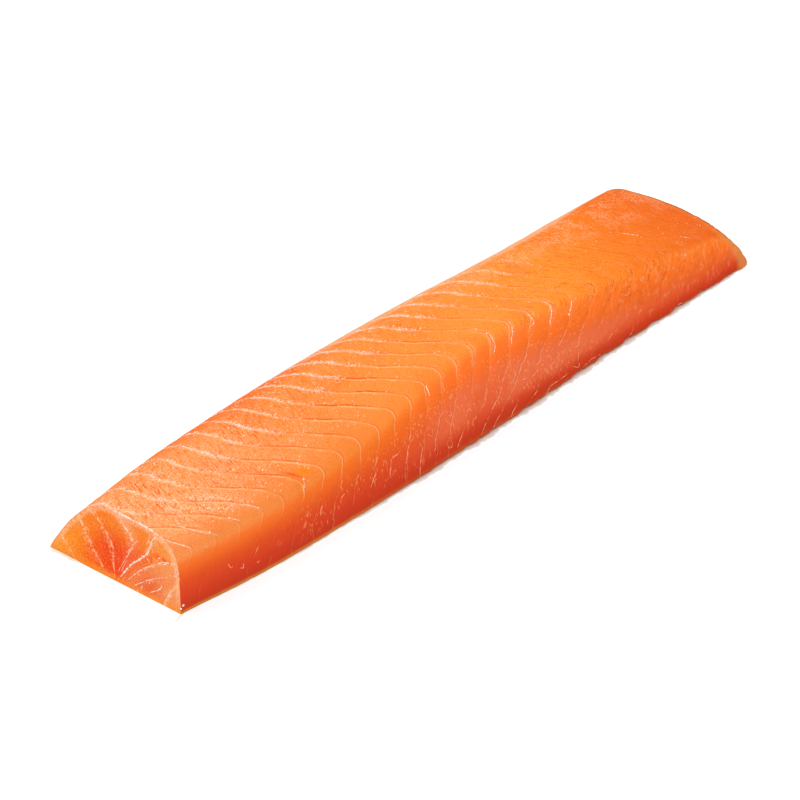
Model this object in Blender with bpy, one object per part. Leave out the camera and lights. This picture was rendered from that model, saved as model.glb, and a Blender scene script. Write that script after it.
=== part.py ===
"""Smoked salmon back fillet, skinless, in one piece and lying on its flat inner side.

X runs along the fillet, from the square head cut at -X to the skewed tail cut at +X.
The steep wall faces -Y, the thin edge lies at +Y and the flat underside is at Z = 0.
Muscle segments cover the outside as chevrons: a seam climbs the wall from its foot,
turns sharply on the rim and sweeps back over the top to the thin edge. On both cuts
the seams run together in a hub near the middle of the underside.
"""

import math
import random
from dataclasses import dataclass

import bmesh
import bpy
import numpy as np
from mathutils import Vector

# Whole fillet
LENGTH = 0.320
TAIL_SKEW = math.radians(8.6)

# Muscle segments, measured along the rim
SEGMENT_HEAD = 0.01005
SEGMENT_TAIL = 0.01235
SEGMENT_CHANGE = -0.003
SEGMENT_BLEND = 0.012
FIRST_SEAM = -0.1635
LAST_SEAM = 0.2100

# How a seam runs back over the top from the rim
TURN_RADIUS = 0.0034
TOP_SWEEP = 0.0283
TOP_REACH = 0.019
DRIFT_HEAD = -0.17
DRIFT_TAIL = 0.26
DRIFT_CHANGE = -0.045
DRIFT_BLEND = 0.040
DRIFT_FROM = 0.031
DRIFT_SOFTNESS = 0.004

# How a seam leans back down the wall from the rim
WALL_SWEEP_HEAD = 0.010
WALL_SWEEP_TAIL = 0.150
WALL_LEAN_HEAD = 1.1
WALL_LEAN_TAIL = 2.4
LEAN_CHANGE = 0.038
LEAN_BLEND = 0.044

# Relief: grooves along the seams, and a foot that swells unevenly from segment to segment
SEAM_DEPTH = 0.00045
SEAM_ROWS = (0.0, 0.24, 0.68)
SWELL_MOST = 0.0007
SWELL_FROM = -0.050
SWELL_BLEND = 0.030
SWELL_SEED = 7

# The two cuts
HUB_SIDE = 0.030
HUB_HEIGHT = 0.0025
CUT_SEAMS = 9
CUT_SEAM_DEPTH = 0.00035
CUT_LOOPS = (0.94, 0.78, 0.58, 0.36, 0.16)
CUT_EDGE_KEPT = 0.004
CUT_EDGE_BLEND = 0.002

# Mesh
OUTLINE_SAMPLES = 241
OUTLINE_STEP = 0.001
WALL_COLUMNS = 10
TOP_COLUMNS = 28
LAST_COLUMN = WALL_COLUMNS + TOP_COLUMNS
FLOOR_COLUMNS = 5
CREST_ROUNDING = 0.03
MERGE = 0.0006
ON_PLANE = 1e-5

# Finish
FLESH_COLOUR = (0.87, 0.23, 0.055, 1.0)
FLESH_ROUGHNESS = 0.35
SHARP_ANGLE = math.radians(42)


@dataclass(frozen=True)
class Section:
    """The fillet's outline at one place along X.

    Two quarter superellipses meet at the crest: the wall's side, from its foot up,
    and the flank's side, from the crest down to the thin edge. The rim is given as
    the girth from the foot, along the outline.
    """

    station: float
    foot: float
    width: float
    height: float
    crest: float
    wall_across: float
    wall_up: float
    flank_across: float
    flank_up: float
    rim: float


SECTIONS = (
    Section(-0.160, -0.0013, 0.0602, 0.0270, 0.0315, 5.3, 5.5, 1.56, 1.02, 0.0207),
    Section(-0.128, -0.0045, 0.0684, 0.0287, 0.0360, 4.1, 4.5, 1.75, 1.07, 0.0210),
    Section(-0.080, -0.0056, 0.0752, 0.0298, 0.0382, 3.2, 3.8, 1.87, 1.09, 0.0240),
    Section(0.000, -0.0043, 0.0774, 0.0296, 0.0405, 2.5, 3.25, 1.94, 1.09, 0.0340),
    Section(0.080, -0.0009, 0.0747, 0.0268, 0.0420, 1.9, 2.9, 1.92, 1.02, 0.0263),
    Section(0.160, 0.0006, 0.0728, 0.0183, 0.0536, 2.25, 1.65, 2.60, 1.20, 0.0170),
)
STATIONS = np.array([section.station for section in SECTIONS])
FIELDS = tuple(name for name in Section.__dataclass_fields__ if name != "station")
TABLE = np.array([[getattr(section, name) for name in FIELDS] for section in SECTIONS])
SLOPES = np.gradient(TABLE, STATIONS, axis=0)


@dataclass(frozen=True)
class Row:
    """One ring of the mesh: its X on the rim, its sunk depth and how far its foot swells."""

    rim_x: float
    depth: float
    swell: float


def blend(x, middle, width):
    """Rises smoothly from 0 to 1 around middle."""
    return 0.5 + 0.5 * math.tanh((x - middle) / width)


def between(head, tail, share):
    """The value a share of the way from the head's to the tail's."""
    return head + (tail - head) * share


def section_at(x):
    """The section at x, on a smooth curve through the named sections."""
    x = min(max(x, STATIONS[0]), STATIONS[-1])
    i = min(int(np.searchsorted(STATIONS, x, side="right")) - 1, len(STATIONS) - 2)
    span = STATIONS[i + 1] - STATIONS[i]
    t = (x - STATIONS[i]) / span
    start = (1 + 2 * t) * (1 - t) ** 2
    end = t * t * (3 - 2 * t)
    leave = t * (1 - t) ** 2 * span
    arrive = t * t * (t - 1) * span
    sizes = start * TABLE[i] + leave * SLOPES[i] + end * TABLE[i + 1] + arrive * SLOPES[i + 1]
    return Section(x, *(float(size) for size in sizes))


def outline_of(section):
    """Y, Z and girth of points from the foot of the wall, over the crest, to the thin edge."""
    turn = np.linspace(0.0, np.pi, OUTLINE_SAMPLES)
    on_wall = turn <= np.pi / 2
    across = np.abs(np.cos(turn))
    up = np.sin(turn)
    up[-1] = 0.0
    eased = np.hypot(across, CREST_ROUNDING) - CREST_ROUNDING
    eased /= math.hypot(1, CREST_ROUNDING) - CREST_ROUNDING
    wall_y = section.crest * (1 - across ** (2 / section.wall_across))
    flank_y = section.crest + (section.width - section.crest) * across ** (2 / section.flank_across)
    y = section.foot + np.where(on_wall, wall_y, flank_y)
    wall_z = up ** (2 / section.wall_up)
    flank_z = (1 - eased ** 2) ** (1 / section.flank_up)
    z = section.height * np.where(on_wall, wall_z, flank_z)
    steps = np.hypot(np.diff(y), np.diff(z))
    girth = np.concatenate(([0.0], np.cumsum(steps)))
    return y, z, girth


def top_sweep(run, x):
    """How far back along X a seam has come, a run past the rim over the top."""
    rounded = math.hypot(run, TURN_RADIUS) - TURN_RADIUS
    drift = between(DRIFT_HEAD, DRIFT_TAIL, blend(x, DRIFT_CHANGE, DRIFT_BLEND))
    past = DRIFT_SOFTNESS * math.log1p(math.exp((run - DRIFT_FROM) / DRIFT_SOFTNESS))
    return TOP_SWEEP * math.tanh(rounded / TOP_REACH) + drift * past


def wall_sweep(run, x):
    """How far back along X a seam has come, a run below the rim down the wall."""
    rounded = math.hypot(run, TURN_RADIUS) - TURN_RADIUS
    tailward = blend(x, LEAN_CHANGE, LEAN_BLEND)
    lean = between(WALL_LEAN_HEAD, WALL_LEAN_TAIL, tailward)
    most = between(WALL_SWEEP_HEAD, WALL_SWEEP_TAIL, tailward)
    return most * math.tanh(lean * rounded / most)


def seam_places():
    """X of each seam on the rim, spaced as the segments are."""
    places = [FIRST_SEAM]
    while places[-1] < LAST_SEAM:
        tailward = blend(places[-1], SEGMENT_CHANGE, SEGMENT_BLEND)
        places.append(places[-1] + between(SEGMENT_HEAD, SEGMENT_TAIL, tailward))
    return places


def mesh_rows():
    """The rings of the mesh: one in each seam and two on the segment behind it."""
    draw = random.Random(SWELL_SEED)
    places = seam_places()
    rows = []
    for start, end in zip(places, places[1:]):
        most = draw.uniform(0.0, SWELL_MOST)
        for share in SEAM_ROWS:
            depth = SEAM_DEPTH if share == 0.0 else 0.0
            rows.append(Row(between(start, end, share), depth, most * math.sin(math.pi * share)))
    return rows


def column_girth(column, section, whole):
    """Girth of a column, in even steps from the foot to the rim and on to the thin edge."""
    if column <= WALL_COLUMNS:
        return section.rim * column / WALL_COLUMNS
    return between(section.rim, whole, (column - WALL_COLUMNS) / TOP_COLUMNS)


def on_outline(line, place):
    """The point of an outline at a girth, and the unit direction straight out of the flesh."""
    y_line, z_line, girth_line = line
    near = max(place - OUTLINE_STEP, 0.0)
    far = min(place + OUTLINE_STEP, girth_line[-1])
    point = Vector([np.interp(place, girth_line, part) for part in (y_line, z_line)])
    run = Vector([np.interp(far, girth_line, part) - np.interp(near, girth_line, part)
                  for part in (y_line, z_line)]).normalized()
    return point, Vector((-run.y, run.x))


def skin_point(row, column):
    """A point of the outside: column counts from the foot over the rim to the thin edge."""
    section = section_at(row.rim_x)
    whole = outline_of(section)[2][-1]
    girth = column_girth(column, section, whole)
    run = abs(girth - section.rim)
    sweep = wall_sweep if column <= WALL_COLUMNS else top_sweep
    x = row.rim_x - sweep(run, row.rim_x)
    line = outline_of(section_at(x))
    (y, z), outward = on_outline(line, girth / whole * line[2][-1])
    swell = row.swell * blend(x, SWELL_FROM, SWELL_BLEND) * max(0.0, 1 - girth / section.rim)
    y -= outward.x * row.depth + swell
    z -= outward.y * row.depth
    on_floor = column in (0, LAST_COLUMN)
    return Vector((x, y, 0.0 if on_floor else max(0.0, z)))


def outside_ring(bm, row):
    """One closed ring of vertices: the outside along a seam, then back under the fillet."""
    points = [skin_point(row, column) for column in range(LAST_COLUMN + 1)]
    foot, edge = points[0], points[-1]
    points += [edge.lerp(foot, column / FLOOR_COLUMNS) for column in range(1, FLOOR_COLUMNS)]
    return [bm.verts.new(point) for point in points]


def join_rings(bm, first, second):
    """Faces between two neighbouring rings, looking outwards."""
    count = len(first)
    for i in range(count):
        j = (i + 1) % count
        bm.faces.new((first[i], first[j], second[j], second[i]))


def cut_end(bm, point, outward):
    """Cuts the open body along a plane and gives the edges left open there."""

    def on_cut(vert):
        return abs((vert.co - point).dot(outward)) < ON_PLANE

    geometry = bm.verts[:] + bm.edges[:] + bm.faces[:]
    bmesh.ops.bisect_plane(bm, geom=geometry, plane_co=point, plane_no=outward, clear_outer=True)
    bmesh.ops.remove_doubles(bm, verts=list(filter(on_cut, bm.verts)), dist=MERGE)
    return [edge for edge in bm.edges if edge.is_boundary and all(map(on_cut, edge.verts))]


def ordered_loop(edges):
    """The vertices of a closed loop of edges, in order."""
    beside = {}
    for edge in edges:
        for vert in edge.verts:
            beside.setdefault(vert, []).append(edge.other_vert(vert))
    start = edges[0].verts[0]
    loop = [start, beside[start][0]]
    while loop[-1] is not start:
        loop.append(next(vert for vert in beside[loop[-1]] if vert is not loop[-2]))
    return loop[:-1]


def cut_sink(turn, scale, height):
    """How deep the cut lies at a turn round the hub: deepest along its seams, flat at its edge."""
    along = min(1.0, 3 * (1 - scale), 3 * scale)
    above_floor = blend(height, CUT_EDGE_KEPT, CUT_EDGE_BLEND)
    return CUT_SEAM_DEPTH * math.cos(CUT_SEAMS * turn) ** 2 * along * above_floor


def cap_end(bm, rim, hub, inward):
    """Closes a cut with loops that shrink to the hub, sunk a little along each seam."""
    previous = rim
    for scale in CUT_LOOPS:
        loop = []
        for vert in rim:
            turn = math.atan2(vert.co.z - hub.z, vert.co.y - hub.y)
            sink = cut_sink(turn, scale, vert.co.z)
            loop.append(bm.verts.new(hub.lerp(vert.co, scale) + inward * sink))
        join_rings(bm, previous, loop)
        previous = loop
    centre = bm.verts.new(hub)
    for i, vert in enumerate(previous):
        bm.faces.new((vert, previous[(i + 1) % len(previous)], centre))


def close_cut(bm, x, skew):
    """Cuts one end along a plane turned by skew and closes it."""
    side = math.copysign(1.0, x)
    outward = Vector((side * math.cos(skew), side * math.sin(skew), 0.0))
    edges = cut_end(bm, Vector((x, 0.0, 0.0)), outward)
    hub = Vector((x - math.tan(skew) * HUB_SIDE, HUB_SIDE, HUB_HEIGHT))
    cap_end(bm, ordered_loop(edges), hub, -outward)


def centre_on_floor(bm):
    """Moves the body so that its box stands on the origin."""
    points = np.array([vert.co for vert in bm.verts])
    low, high = points.min(axis=0), points.max(axis=0)
    middle = (low + high) / 2
    bmesh.ops.translate(bm, verts=bm.verts, vec=(-middle[0], -middle[1], -low[2]))


def flesh_material():
    """Moist orange flesh."""
    material = bpy.data.materials.new("smoked_flesh")
    material.use_nodes = True
    shader = material.node_tree.nodes["Principled BSDF"]
    shader.inputs["Base Color"].default_value = FLESH_COLOUR
    shader.inputs["Roughness"].default_value = FLESH_ROUGHNESS
    shader.inputs["Metallic"].default_value = 0.0
    material.diffuse_color = FLESH_COLOUR
    return material


def build_fillet():
    """The whole fillet as one closed mesh."""
    bm = bmesh.new()
    rings = [outside_ring(bm, row) for row in mesh_rows()]
    for first, second in zip(rings, rings[1:]):
        join_rings(bm, first, second)
    close_cut(bm, -LENGTH / 2, 0.0)
    close_cut(bm, LENGTH / 2, TAIL_SKEW)
    bmesh.ops.dissolve_degenerate(bm, edges=bm.edges, dist=ON_PLANE)
    bmesh.ops.triangulate(bm, faces=bm.faces)
    bmesh.ops.recalc_face_normals(bm, faces=bm.faces)
    centre_on_floor(bm)
    mesh = bpy.data.meshes.new("fillet")
    bm.to_mesh(mesh)
    bm.free()
    mesh.materials.append(flesh_material())
    mesh.shade_smooth()
    mesh.set_sharp_from_angle(angle=SHARP_ANGLE)
    fillet = bpy.data.objects.new("fillet", mesh)
    bpy.context.scene.collection.objects.link(fillet)
    return fillet


def clear_scene():
    """Removes whatever the scene starts with."""
    for thing in list(bpy.data.objects):
        bpy.data.objects.remove(thing, do_unlink=True)


clear_scene()
build_fillet()
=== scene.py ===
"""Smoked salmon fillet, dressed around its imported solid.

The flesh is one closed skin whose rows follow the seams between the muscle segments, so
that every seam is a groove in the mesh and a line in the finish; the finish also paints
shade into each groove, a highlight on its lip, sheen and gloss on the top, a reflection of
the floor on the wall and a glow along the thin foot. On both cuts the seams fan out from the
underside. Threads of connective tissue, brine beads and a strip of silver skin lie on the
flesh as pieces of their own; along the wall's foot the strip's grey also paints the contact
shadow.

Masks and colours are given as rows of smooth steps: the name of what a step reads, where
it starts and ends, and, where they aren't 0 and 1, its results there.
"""

import logging
import math
import random
from dataclasses import dataclass, field, fields
from enum import Enum

import bmesh
import bpy
import numpy as np
from bpy.types import Material, Node, NodeSocket, NodeTree, Object
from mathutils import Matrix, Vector


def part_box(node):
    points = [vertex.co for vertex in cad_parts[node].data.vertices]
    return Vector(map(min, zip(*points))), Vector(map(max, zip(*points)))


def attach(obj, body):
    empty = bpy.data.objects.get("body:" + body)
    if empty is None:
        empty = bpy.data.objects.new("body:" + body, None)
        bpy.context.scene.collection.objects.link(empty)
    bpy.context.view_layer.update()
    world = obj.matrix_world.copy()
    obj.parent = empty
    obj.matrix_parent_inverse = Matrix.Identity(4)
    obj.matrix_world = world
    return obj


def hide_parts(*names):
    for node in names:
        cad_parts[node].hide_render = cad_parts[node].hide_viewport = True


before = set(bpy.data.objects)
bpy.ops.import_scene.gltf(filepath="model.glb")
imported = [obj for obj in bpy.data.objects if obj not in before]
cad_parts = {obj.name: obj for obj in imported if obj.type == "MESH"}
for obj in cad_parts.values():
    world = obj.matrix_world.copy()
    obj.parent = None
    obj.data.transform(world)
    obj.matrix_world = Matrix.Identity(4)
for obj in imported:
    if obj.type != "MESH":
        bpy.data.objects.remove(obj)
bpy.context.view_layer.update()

NODE = "fillet"
BODY = "root"
MM = 0.001
LOG = logging.getLogger("fillet")

Triple = tuple[float, float, float]
Colour = Triple
Knots = tuple[tuple[float, float], ...]
CutLines = tuple[tuple[float, Knots], ...]
Line = tuple[np.ndarray, np.ndarray]
Stops = tuple[tuple[float, int, int, int], ...]
Steps = tuple[tuple[str | float, ...], ...]
Reads = dict[str, NodeSocket]


class End(Enum):
    """The two cuts across the fillet, by the side of X that they face."""

    HEAD = -1
    TAIL = 1


class Join(Enum):
    """How the steps of a mask come together."""

    PRODUCT = "MULTIPLY"
    SUM = "ADD"
    MOST = "MAXIMUM"


def seen(red: int, green: int, blue: int) -> Colour:
    """Turns a colour as a screen shows it into the shares of light it gives back.

    Args:
        red: From 0 to 255.
        green: From 0 to 255.
        blue: From 0 to 255.

    Returns:
        The linear colour.
    """
    first, second, third = (
        share / 12.92 if share <= 0.04045 else ((share + 0.055) / 1.055) ** 2.4
        for share in (red / 255, green / 255, blue / 255))
    return first, second, third


def blend(value: np.ndarray | float, middle: float, width: float) -> np.ndarray:
    """Rises from 0 to 1 around a middle, the more gently the wider it is."""
    return 0.5 + 0.5 * np.tanh((np.asarray(value, float) - middle) / width)


def waves(run: np.ndarray, lengths: tuple[float, ...], phases: np.ndarray) -> np.ndarray:
    """Adds up waves of given lengths and phases, each weaker than the one before."""
    return np.sum([np.sin(2 * np.pi * run / length + phase) / (order + 1)
                   for order, (length, phase) in enumerate(zip(lengths, phases))], axis=0)


def tube_faces(rows: int, columns: int) -> np.ndarray:
    """The faces of a tube whose points are given ring by ring.

    Args:
        rows: How many rings it has.
        columns: How many points a ring has.

    Returns:
        The four corners of each face.
    """
    grid = np.arange(rows * columns).reshape(rows, columns)
    turned = np.roll(grid, -1, axis=1)
    return np.stack([grid[:-1], turned[:-1], turned[1:], grid[1:]], axis=-1).reshape(-1, 4)


def store(mesh: bpy.types.Mesh, name: str, values: np.ndarray) -> None:
    """Stores a number on each vertex of a mesh."""
    layer = mesh.attributes.new(name, "FLOAT", "POINT")
    layer.data.foreach_set("value", values.reshape(-1).astype(np.float32))


def linked(name: str, data: bpy.types.ID) -> Object:
    """Puts a new object into the scene.

    Args:
        name: Its name.
        data: Its mesh, lamp or camera.

    Returns:
        The object.
    """
    piece = bpy.data.objects.new(name, data)
    bpy.context.scene.collection.objects.link(piece)
    return piece


def aimed(name: str, data: bpy.types.ID, place: Triple, forward: Vector) -> Object:
    """Puts a lamp or camera into the scene and aims it.

    Args:
        name: Its name.
        data: The lamp or camera.
        place: Where it stands.
        forward: The way it looks.

    Returns:
        The object.
    """
    device = linked(name, data)
    device.location = place
    device.rotation_mode = "QUATERNION"
    device.rotation_quaternion = forward.to_track_quat("-Z", "Y")
    return device


def titled(sizes: object) -> dict[str, float]:
    """The numbers of a dataclass, by the names that they have as inputs of a tree."""
    numbers = {item.name: getattr(sizes, item.name) for item in fields(sizes)}
    return {name.replace("_", " ").title(): number for name, number in numbers.items()
            if isinstance(number, (int, float))}


class Wiring:
    """Adds the nodes of one tree and wires them together."""

    def __init__(self, tree: NodeTree) -> None:
        """Keeps the tree that the nodes go into."""
        self.tree = tree

    def feed(self, socket: NodeSocket, value: object) -> None:
        """Wires a socket to another socket, or sets it to a plain value.

        Args:
            socket: The input to fill.
            value: An output socket or a value.
        """
        if isinstance(value, NodeSocket):
            self.tree.links.new(value, socket)
        else:
            socket.default_value = value

    def add(self, kind: str, inputs: dict | None = None, **settings: object) -> Node:
        """Adds one node.

        Args:
            kind: Blender's name of the node type.
            inputs: Sockets or values by the input's name or number.
            settings: Properties of the node.

        Returns:
            The new node.
        """
        node = self.tree.nodes.new(kind)
        for name, value in settings.items():
            setattr(node, name, value)
        for key, value in (inputs or {}).items():
            self.feed(node.inputs[key], value)
        return node

    def surface(self, inputs: dict[str, object]) -> None:
        """Fills inputs of the surface shader of a finish."""
        for key, value in inputs.items():
            self.feed(self.tree.nodes["Principled BSDF"].inputs[key], value)

    def math(self, operation: str, *values: object) -> NodeSocket:
        """Adds one sum, by Blender's name of it and with its one to three terms."""
        return self.add("ShaderNodeMath", dict(enumerate(values)), operation=operation).outputs[0]

    def fold(self, join: Join, *values: object) -> NodeSocket:
        """Puts any number of terms together.

        Args:
            join: How they come together.
            values: Sockets or numbers.

        Returns:
            The socket with the result.
        """
        result, *rest = values
        for value in rest:
            result = self.math(join.value, result, value)
        return result

    def product(self, *values: object) -> NodeSocket:
        """Multiplies any number of sockets or numbers."""
        return self.fold(Join.PRODUCT, *values)

    def total(self, *values: object) -> NodeSocket:
        """Adds up any number of sockets or numbers."""
        return self.fold(Join.SUM, *values)

    def inverse(self, value: object) -> NodeSocket:
        """What is left of 1."""
        return self.math("SUBTRACT", 1.0, value)

    def apart(self, number: object) -> NodeSocket:
        """How far a number is from the nearest whole one."""
        return self.math("PINGPONG", number, 0.5)

    def parted(self, vector: NodeSocket) -> list[NodeSocket]:
        """The X, Y and Z of a vector."""
        return list(self.add("ShaderNodeSeparateXYZ", {0: vector}).outputs)

    def joined(self, x: object, y: object, z: object = 0.0) -> NodeSocket:
        """A vector from its X, Y and Z."""
        return self.add("ShaderNodeCombineXYZ", {0: x, 1: y, 2: z}).outputs[0]

    def ramp(self, value: object, low: float, high: float, bottom: float = 0.0,
             top: float = 1.0) -> NodeSocket:
        """Adds a smooth step.

        Args:
            value: What it reads.
            low: Where the step starts.
            high: Where it ends.
            bottom: The result at the start.
            top: The result at the end.

        Returns:
            The socket with the result.
        """
        inputs = {"Value": value, "From Min": low, "From Max": high, "To Min": bottom, "To Max": top}
        return self.add("ShaderNodeMapRange", inputs, interpolation_type="SMOOTHSTEP").outputs[0]

    def each(self, reads: Reads, steps: Steps) -> list[NodeSocket]:
        """Adds a row of smooth steps. A step without bounds is just what it reads."""
        return [self.ramp(reads[name], *bounds) if bounds else reads[name]
                for name, *bounds in steps]

    def mask(self, reads: Reads, steps: Steps) -> NodeSocket:
        """The product of a row of smooth steps."""
        return self.product(*self.each(reads, steps))

    def speckle(self, vector: NodeSocket, scale: float, detail: float = 2.0,
                roughness: float = 0.5) -> NodeSocket:
        """Adds a noise from 0 to 1, of a size per metre, with finer layers and their strength."""
        inputs = {"Vector": vector, "Scale": scale, "Detail": detail, "Roughness": roughness}
        return self.add("ShaderNodeTexNoise", inputs).outputs[0]

    def drawn(self, place: NodeSocket, size: Triple, turn: float = 0.0) -> NodeSocket:
        """Places as counted in lengths along three axes, the first two turned about Z."""
        inputs = {"Vector": place, "Rotation": (0.0, 0.0, turn), "Scale": size}
        return self.add("ShaderNodeMapping", inputs, vector_type="TEXTURE").outputs[0]

    def mixed(self, share: object, under: object, over: object) -> NodeSocket:
        """Lays one colour over another.

        Args:
            share: How much of the upper colour shows.
            under: The lower colour.
            over: The upper colour.

        Returns:
            The socket with the colour.
        """
        node = self.add("ShaderNodeMix", data_type="RGBA")
        self.feed(node.inputs[0], share)
        for number, colour in ((6, under), (7, over)):
            solid = colour if isinstance(colour, NodeSocket) else (*colour, 1.0)
            self.feed(node.inputs[number], solid)
        return node.outputs[2]

    def gradient(self, value: object, stops: Stops) -> NodeSocket:
        """Runs through a row of colours.

        Args:
            value: Where it is read, from 0 to 1.
            stops: The places and their colours as a screen shows them, in order.

        Returns:
            The socket with the colour.
        """
        node = self.add("ShaderNodeValToRGB", {0: value})
        elements = node.color_ramp.elements
        for place, *_ in stops[1:-1]:
            elements.new(place)
        elements[0].position, elements[-1].position = stops[0][0], stops[-1][0]
        for element, (_, *shade) in zip(elements, stops):
            element.color = (*seen(*shade), 1.0)
        return node.outputs[0]

    def named(self, name: str) -> NodeSocket:
        """Reads a number stored on the mesh in a finish."""
        return self.add("ShaderNodeAttribute", attribute_name=name).outputs["Fac"]


def new_finish(name: str) -> tuple[Material, Wiring]:
    """A new finish, and the wiring of its nodes.

    Args:
        name: Its name.

    Returns:
        The material and the wiring.
    """
    material = bpy.data.materials.new(name)
    material.use_nodes = True
    return material, Wiring(material.node_tree)


class PieceTree(Wiring):
    """A geometry tree that makes a finished piece from a base object, by a few named sizes."""

    def __init__(self, name: str, sizes: dict[str, float]) -> None:
        """Sets up the tree with a named input for each size.

        Args:
            name: The piece's name.
            sizes: The sizes by the names of their inputs.
        """
        super().__init__(bpy.data.node_groups.new(name, "GeometryNodeTree"))
        self.name, self.sizes = name, sizes
        kinds = {title: "Int" if isinstance(size, int) else "Float"
                 for title, size in sizes.items()}
        sockets = [("Base", "INPUT", "Geometry"), ("Piece", "OUTPUT", "Geometry"),
                   *((title, "INPUT", kind) for title, kind in kinds.items())]
        for title, way, kind in sockets:
            self.tree.interface.new_socket(name=title, in_out=way, socket_type=f"NodeSocket{kind}")
        self.given = self.add("NodeGroupInput").outputs
        self.place = self.add("GeometryNodeInputPosition").outputs[0]
        self.normal = self.add("GeometryNodeInputNormal").outputs[0]

    def stored(self, *names: str) -> Reads:
        """Numbers stored on the mesh, by name."""
        return {name: self.add("GeometryNodeInputNamedAttribute", {"Name": name},
                               data_type="FLOAT").outputs[0] for name in names}

    def chance(self, scale: object, detail: float = 2.0) -> NodeSocket:
        """A noise from 0 to 1 over the geometry, drawn from the tree's seed."""
        inputs = {"Vector": self.place, "Scale": scale, "Detail": detail, "W": self.given["Seed"]}
        return self.add("ShaderNodeTexNoise", inputs, noise_dimensions="4D").outputs[0]

    def scaled(self, vector: NodeSocket, scale: NodeSocket) -> NodeSocket:
        """A vector times a number."""
        return self.add("ShaderNodeVectorMath", {0: vector, 3: scale}, operation="SCALE").outputs[0]

    def nearest(self, flesh: Object) -> tuple[NodeSocket, NodeSocket]:
        """The flesh's nearest point, and the way out of the flesh there.

        Args:
            flesh: The finished flesh.

        Returns:
            The sockets with the point and the way out.
        """
        under = self.add("GeometryNodeObjectInfo", {"Object": flesh}).outputs["Geometry"]
        near = self.add("GeometryNodeProximity", {0: under}, target_element="FACES")
        out = self.add("GeometryNodeSampleNearestSurface", {"Mesh": under, "Value": self.normal},
                       data_type="FLOAT_VECTOR")
        return near.outputs["Position"], out.outputs[0]

    def balls(self, radius: object, fineness: int, inputs: dict[str, NodeSocket]) -> NodeSocket:
        """Sets a ball at each point.

        Args:
            radius: The ball's radius.
            fineness: How often its faces are divided.
            inputs: The points, and the balls' turn and scale there.

        Returns:
            The socket with the balls.
        """
        ball = self.add("GeometryNodeMeshIcoSphere", {"Radius": radius, "Subdivisions": fineness})
        smooth = self.add("GeometryNodeSetShadeSmooth", {"Geometry": ball.outputs[0]}).outputs[0]
        return self.add("GeometryNodeInstanceOnPoints", {"Instance": smooth, **inputs}).outputs[0]

    def dress(self, geometry: NodeSocket, material: Material) -> None:
        """Makes the result real, gives it its finish and hands it out.

        Args:
            geometry: The result.
            material: The finish.
        """
        real = self.add("GeometryNodeRealizeInstances", {0: geometry}).outputs[0]
        dressed = self.add("GeometryNodeSetMaterial", {0: real, "Material": material}).outputs[0]
        self.add("NodeGroupOutput", {0: dressed})

    def grow(self, base: Object) -> Object:
        """Runs the tree on an object and keeps the result as a plain mesh.

        Args:
            base: The object that the tree starts from, which is removed.

        Returns:
            The new piece, with no modifier.
        """
        modifier = base.modifiers.new(self.name, "NODES")
        modifier.node_group = self.tree
        for item in self.tree.interface.items_tree:
            if item.name in self.sizes:
                modifier[item.identifier] = self.sizes[item.name]
        graph = bpy.context.evaluated_depsgraph_get()
        mesh = bpy.data.meshes.new_from_object(base.evaluated_get(graph))
        mesh.name = self.name
        bpy.data.objects.remove(base, do_unlink=True)
        return linked(self.name, mesh)


@dataclass(frozen=True)
class Change:
    """A size that has one value at the head, another at the tail and blends around a middle."""

    head: float
    tail: float
    middle: float
    width: float

    def at(self, x: np.ndarray | float) -> np.ndarray:
        """The size at a place along the fillet."""
        return self.head + (self.tail - self.head) * blend(x, self.middle, self.width)


@dataclass(frozen=True)
class Section:
    """The fillet's outline at one place along X: two quarter superellipses, meeting at the crest."""

    station: float
    foot: float
    width: float
    height: float
    crest: float
    wall_across: float
    wall_up: float
    flank_across: float
    flank_up: float
    rim: float


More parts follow.
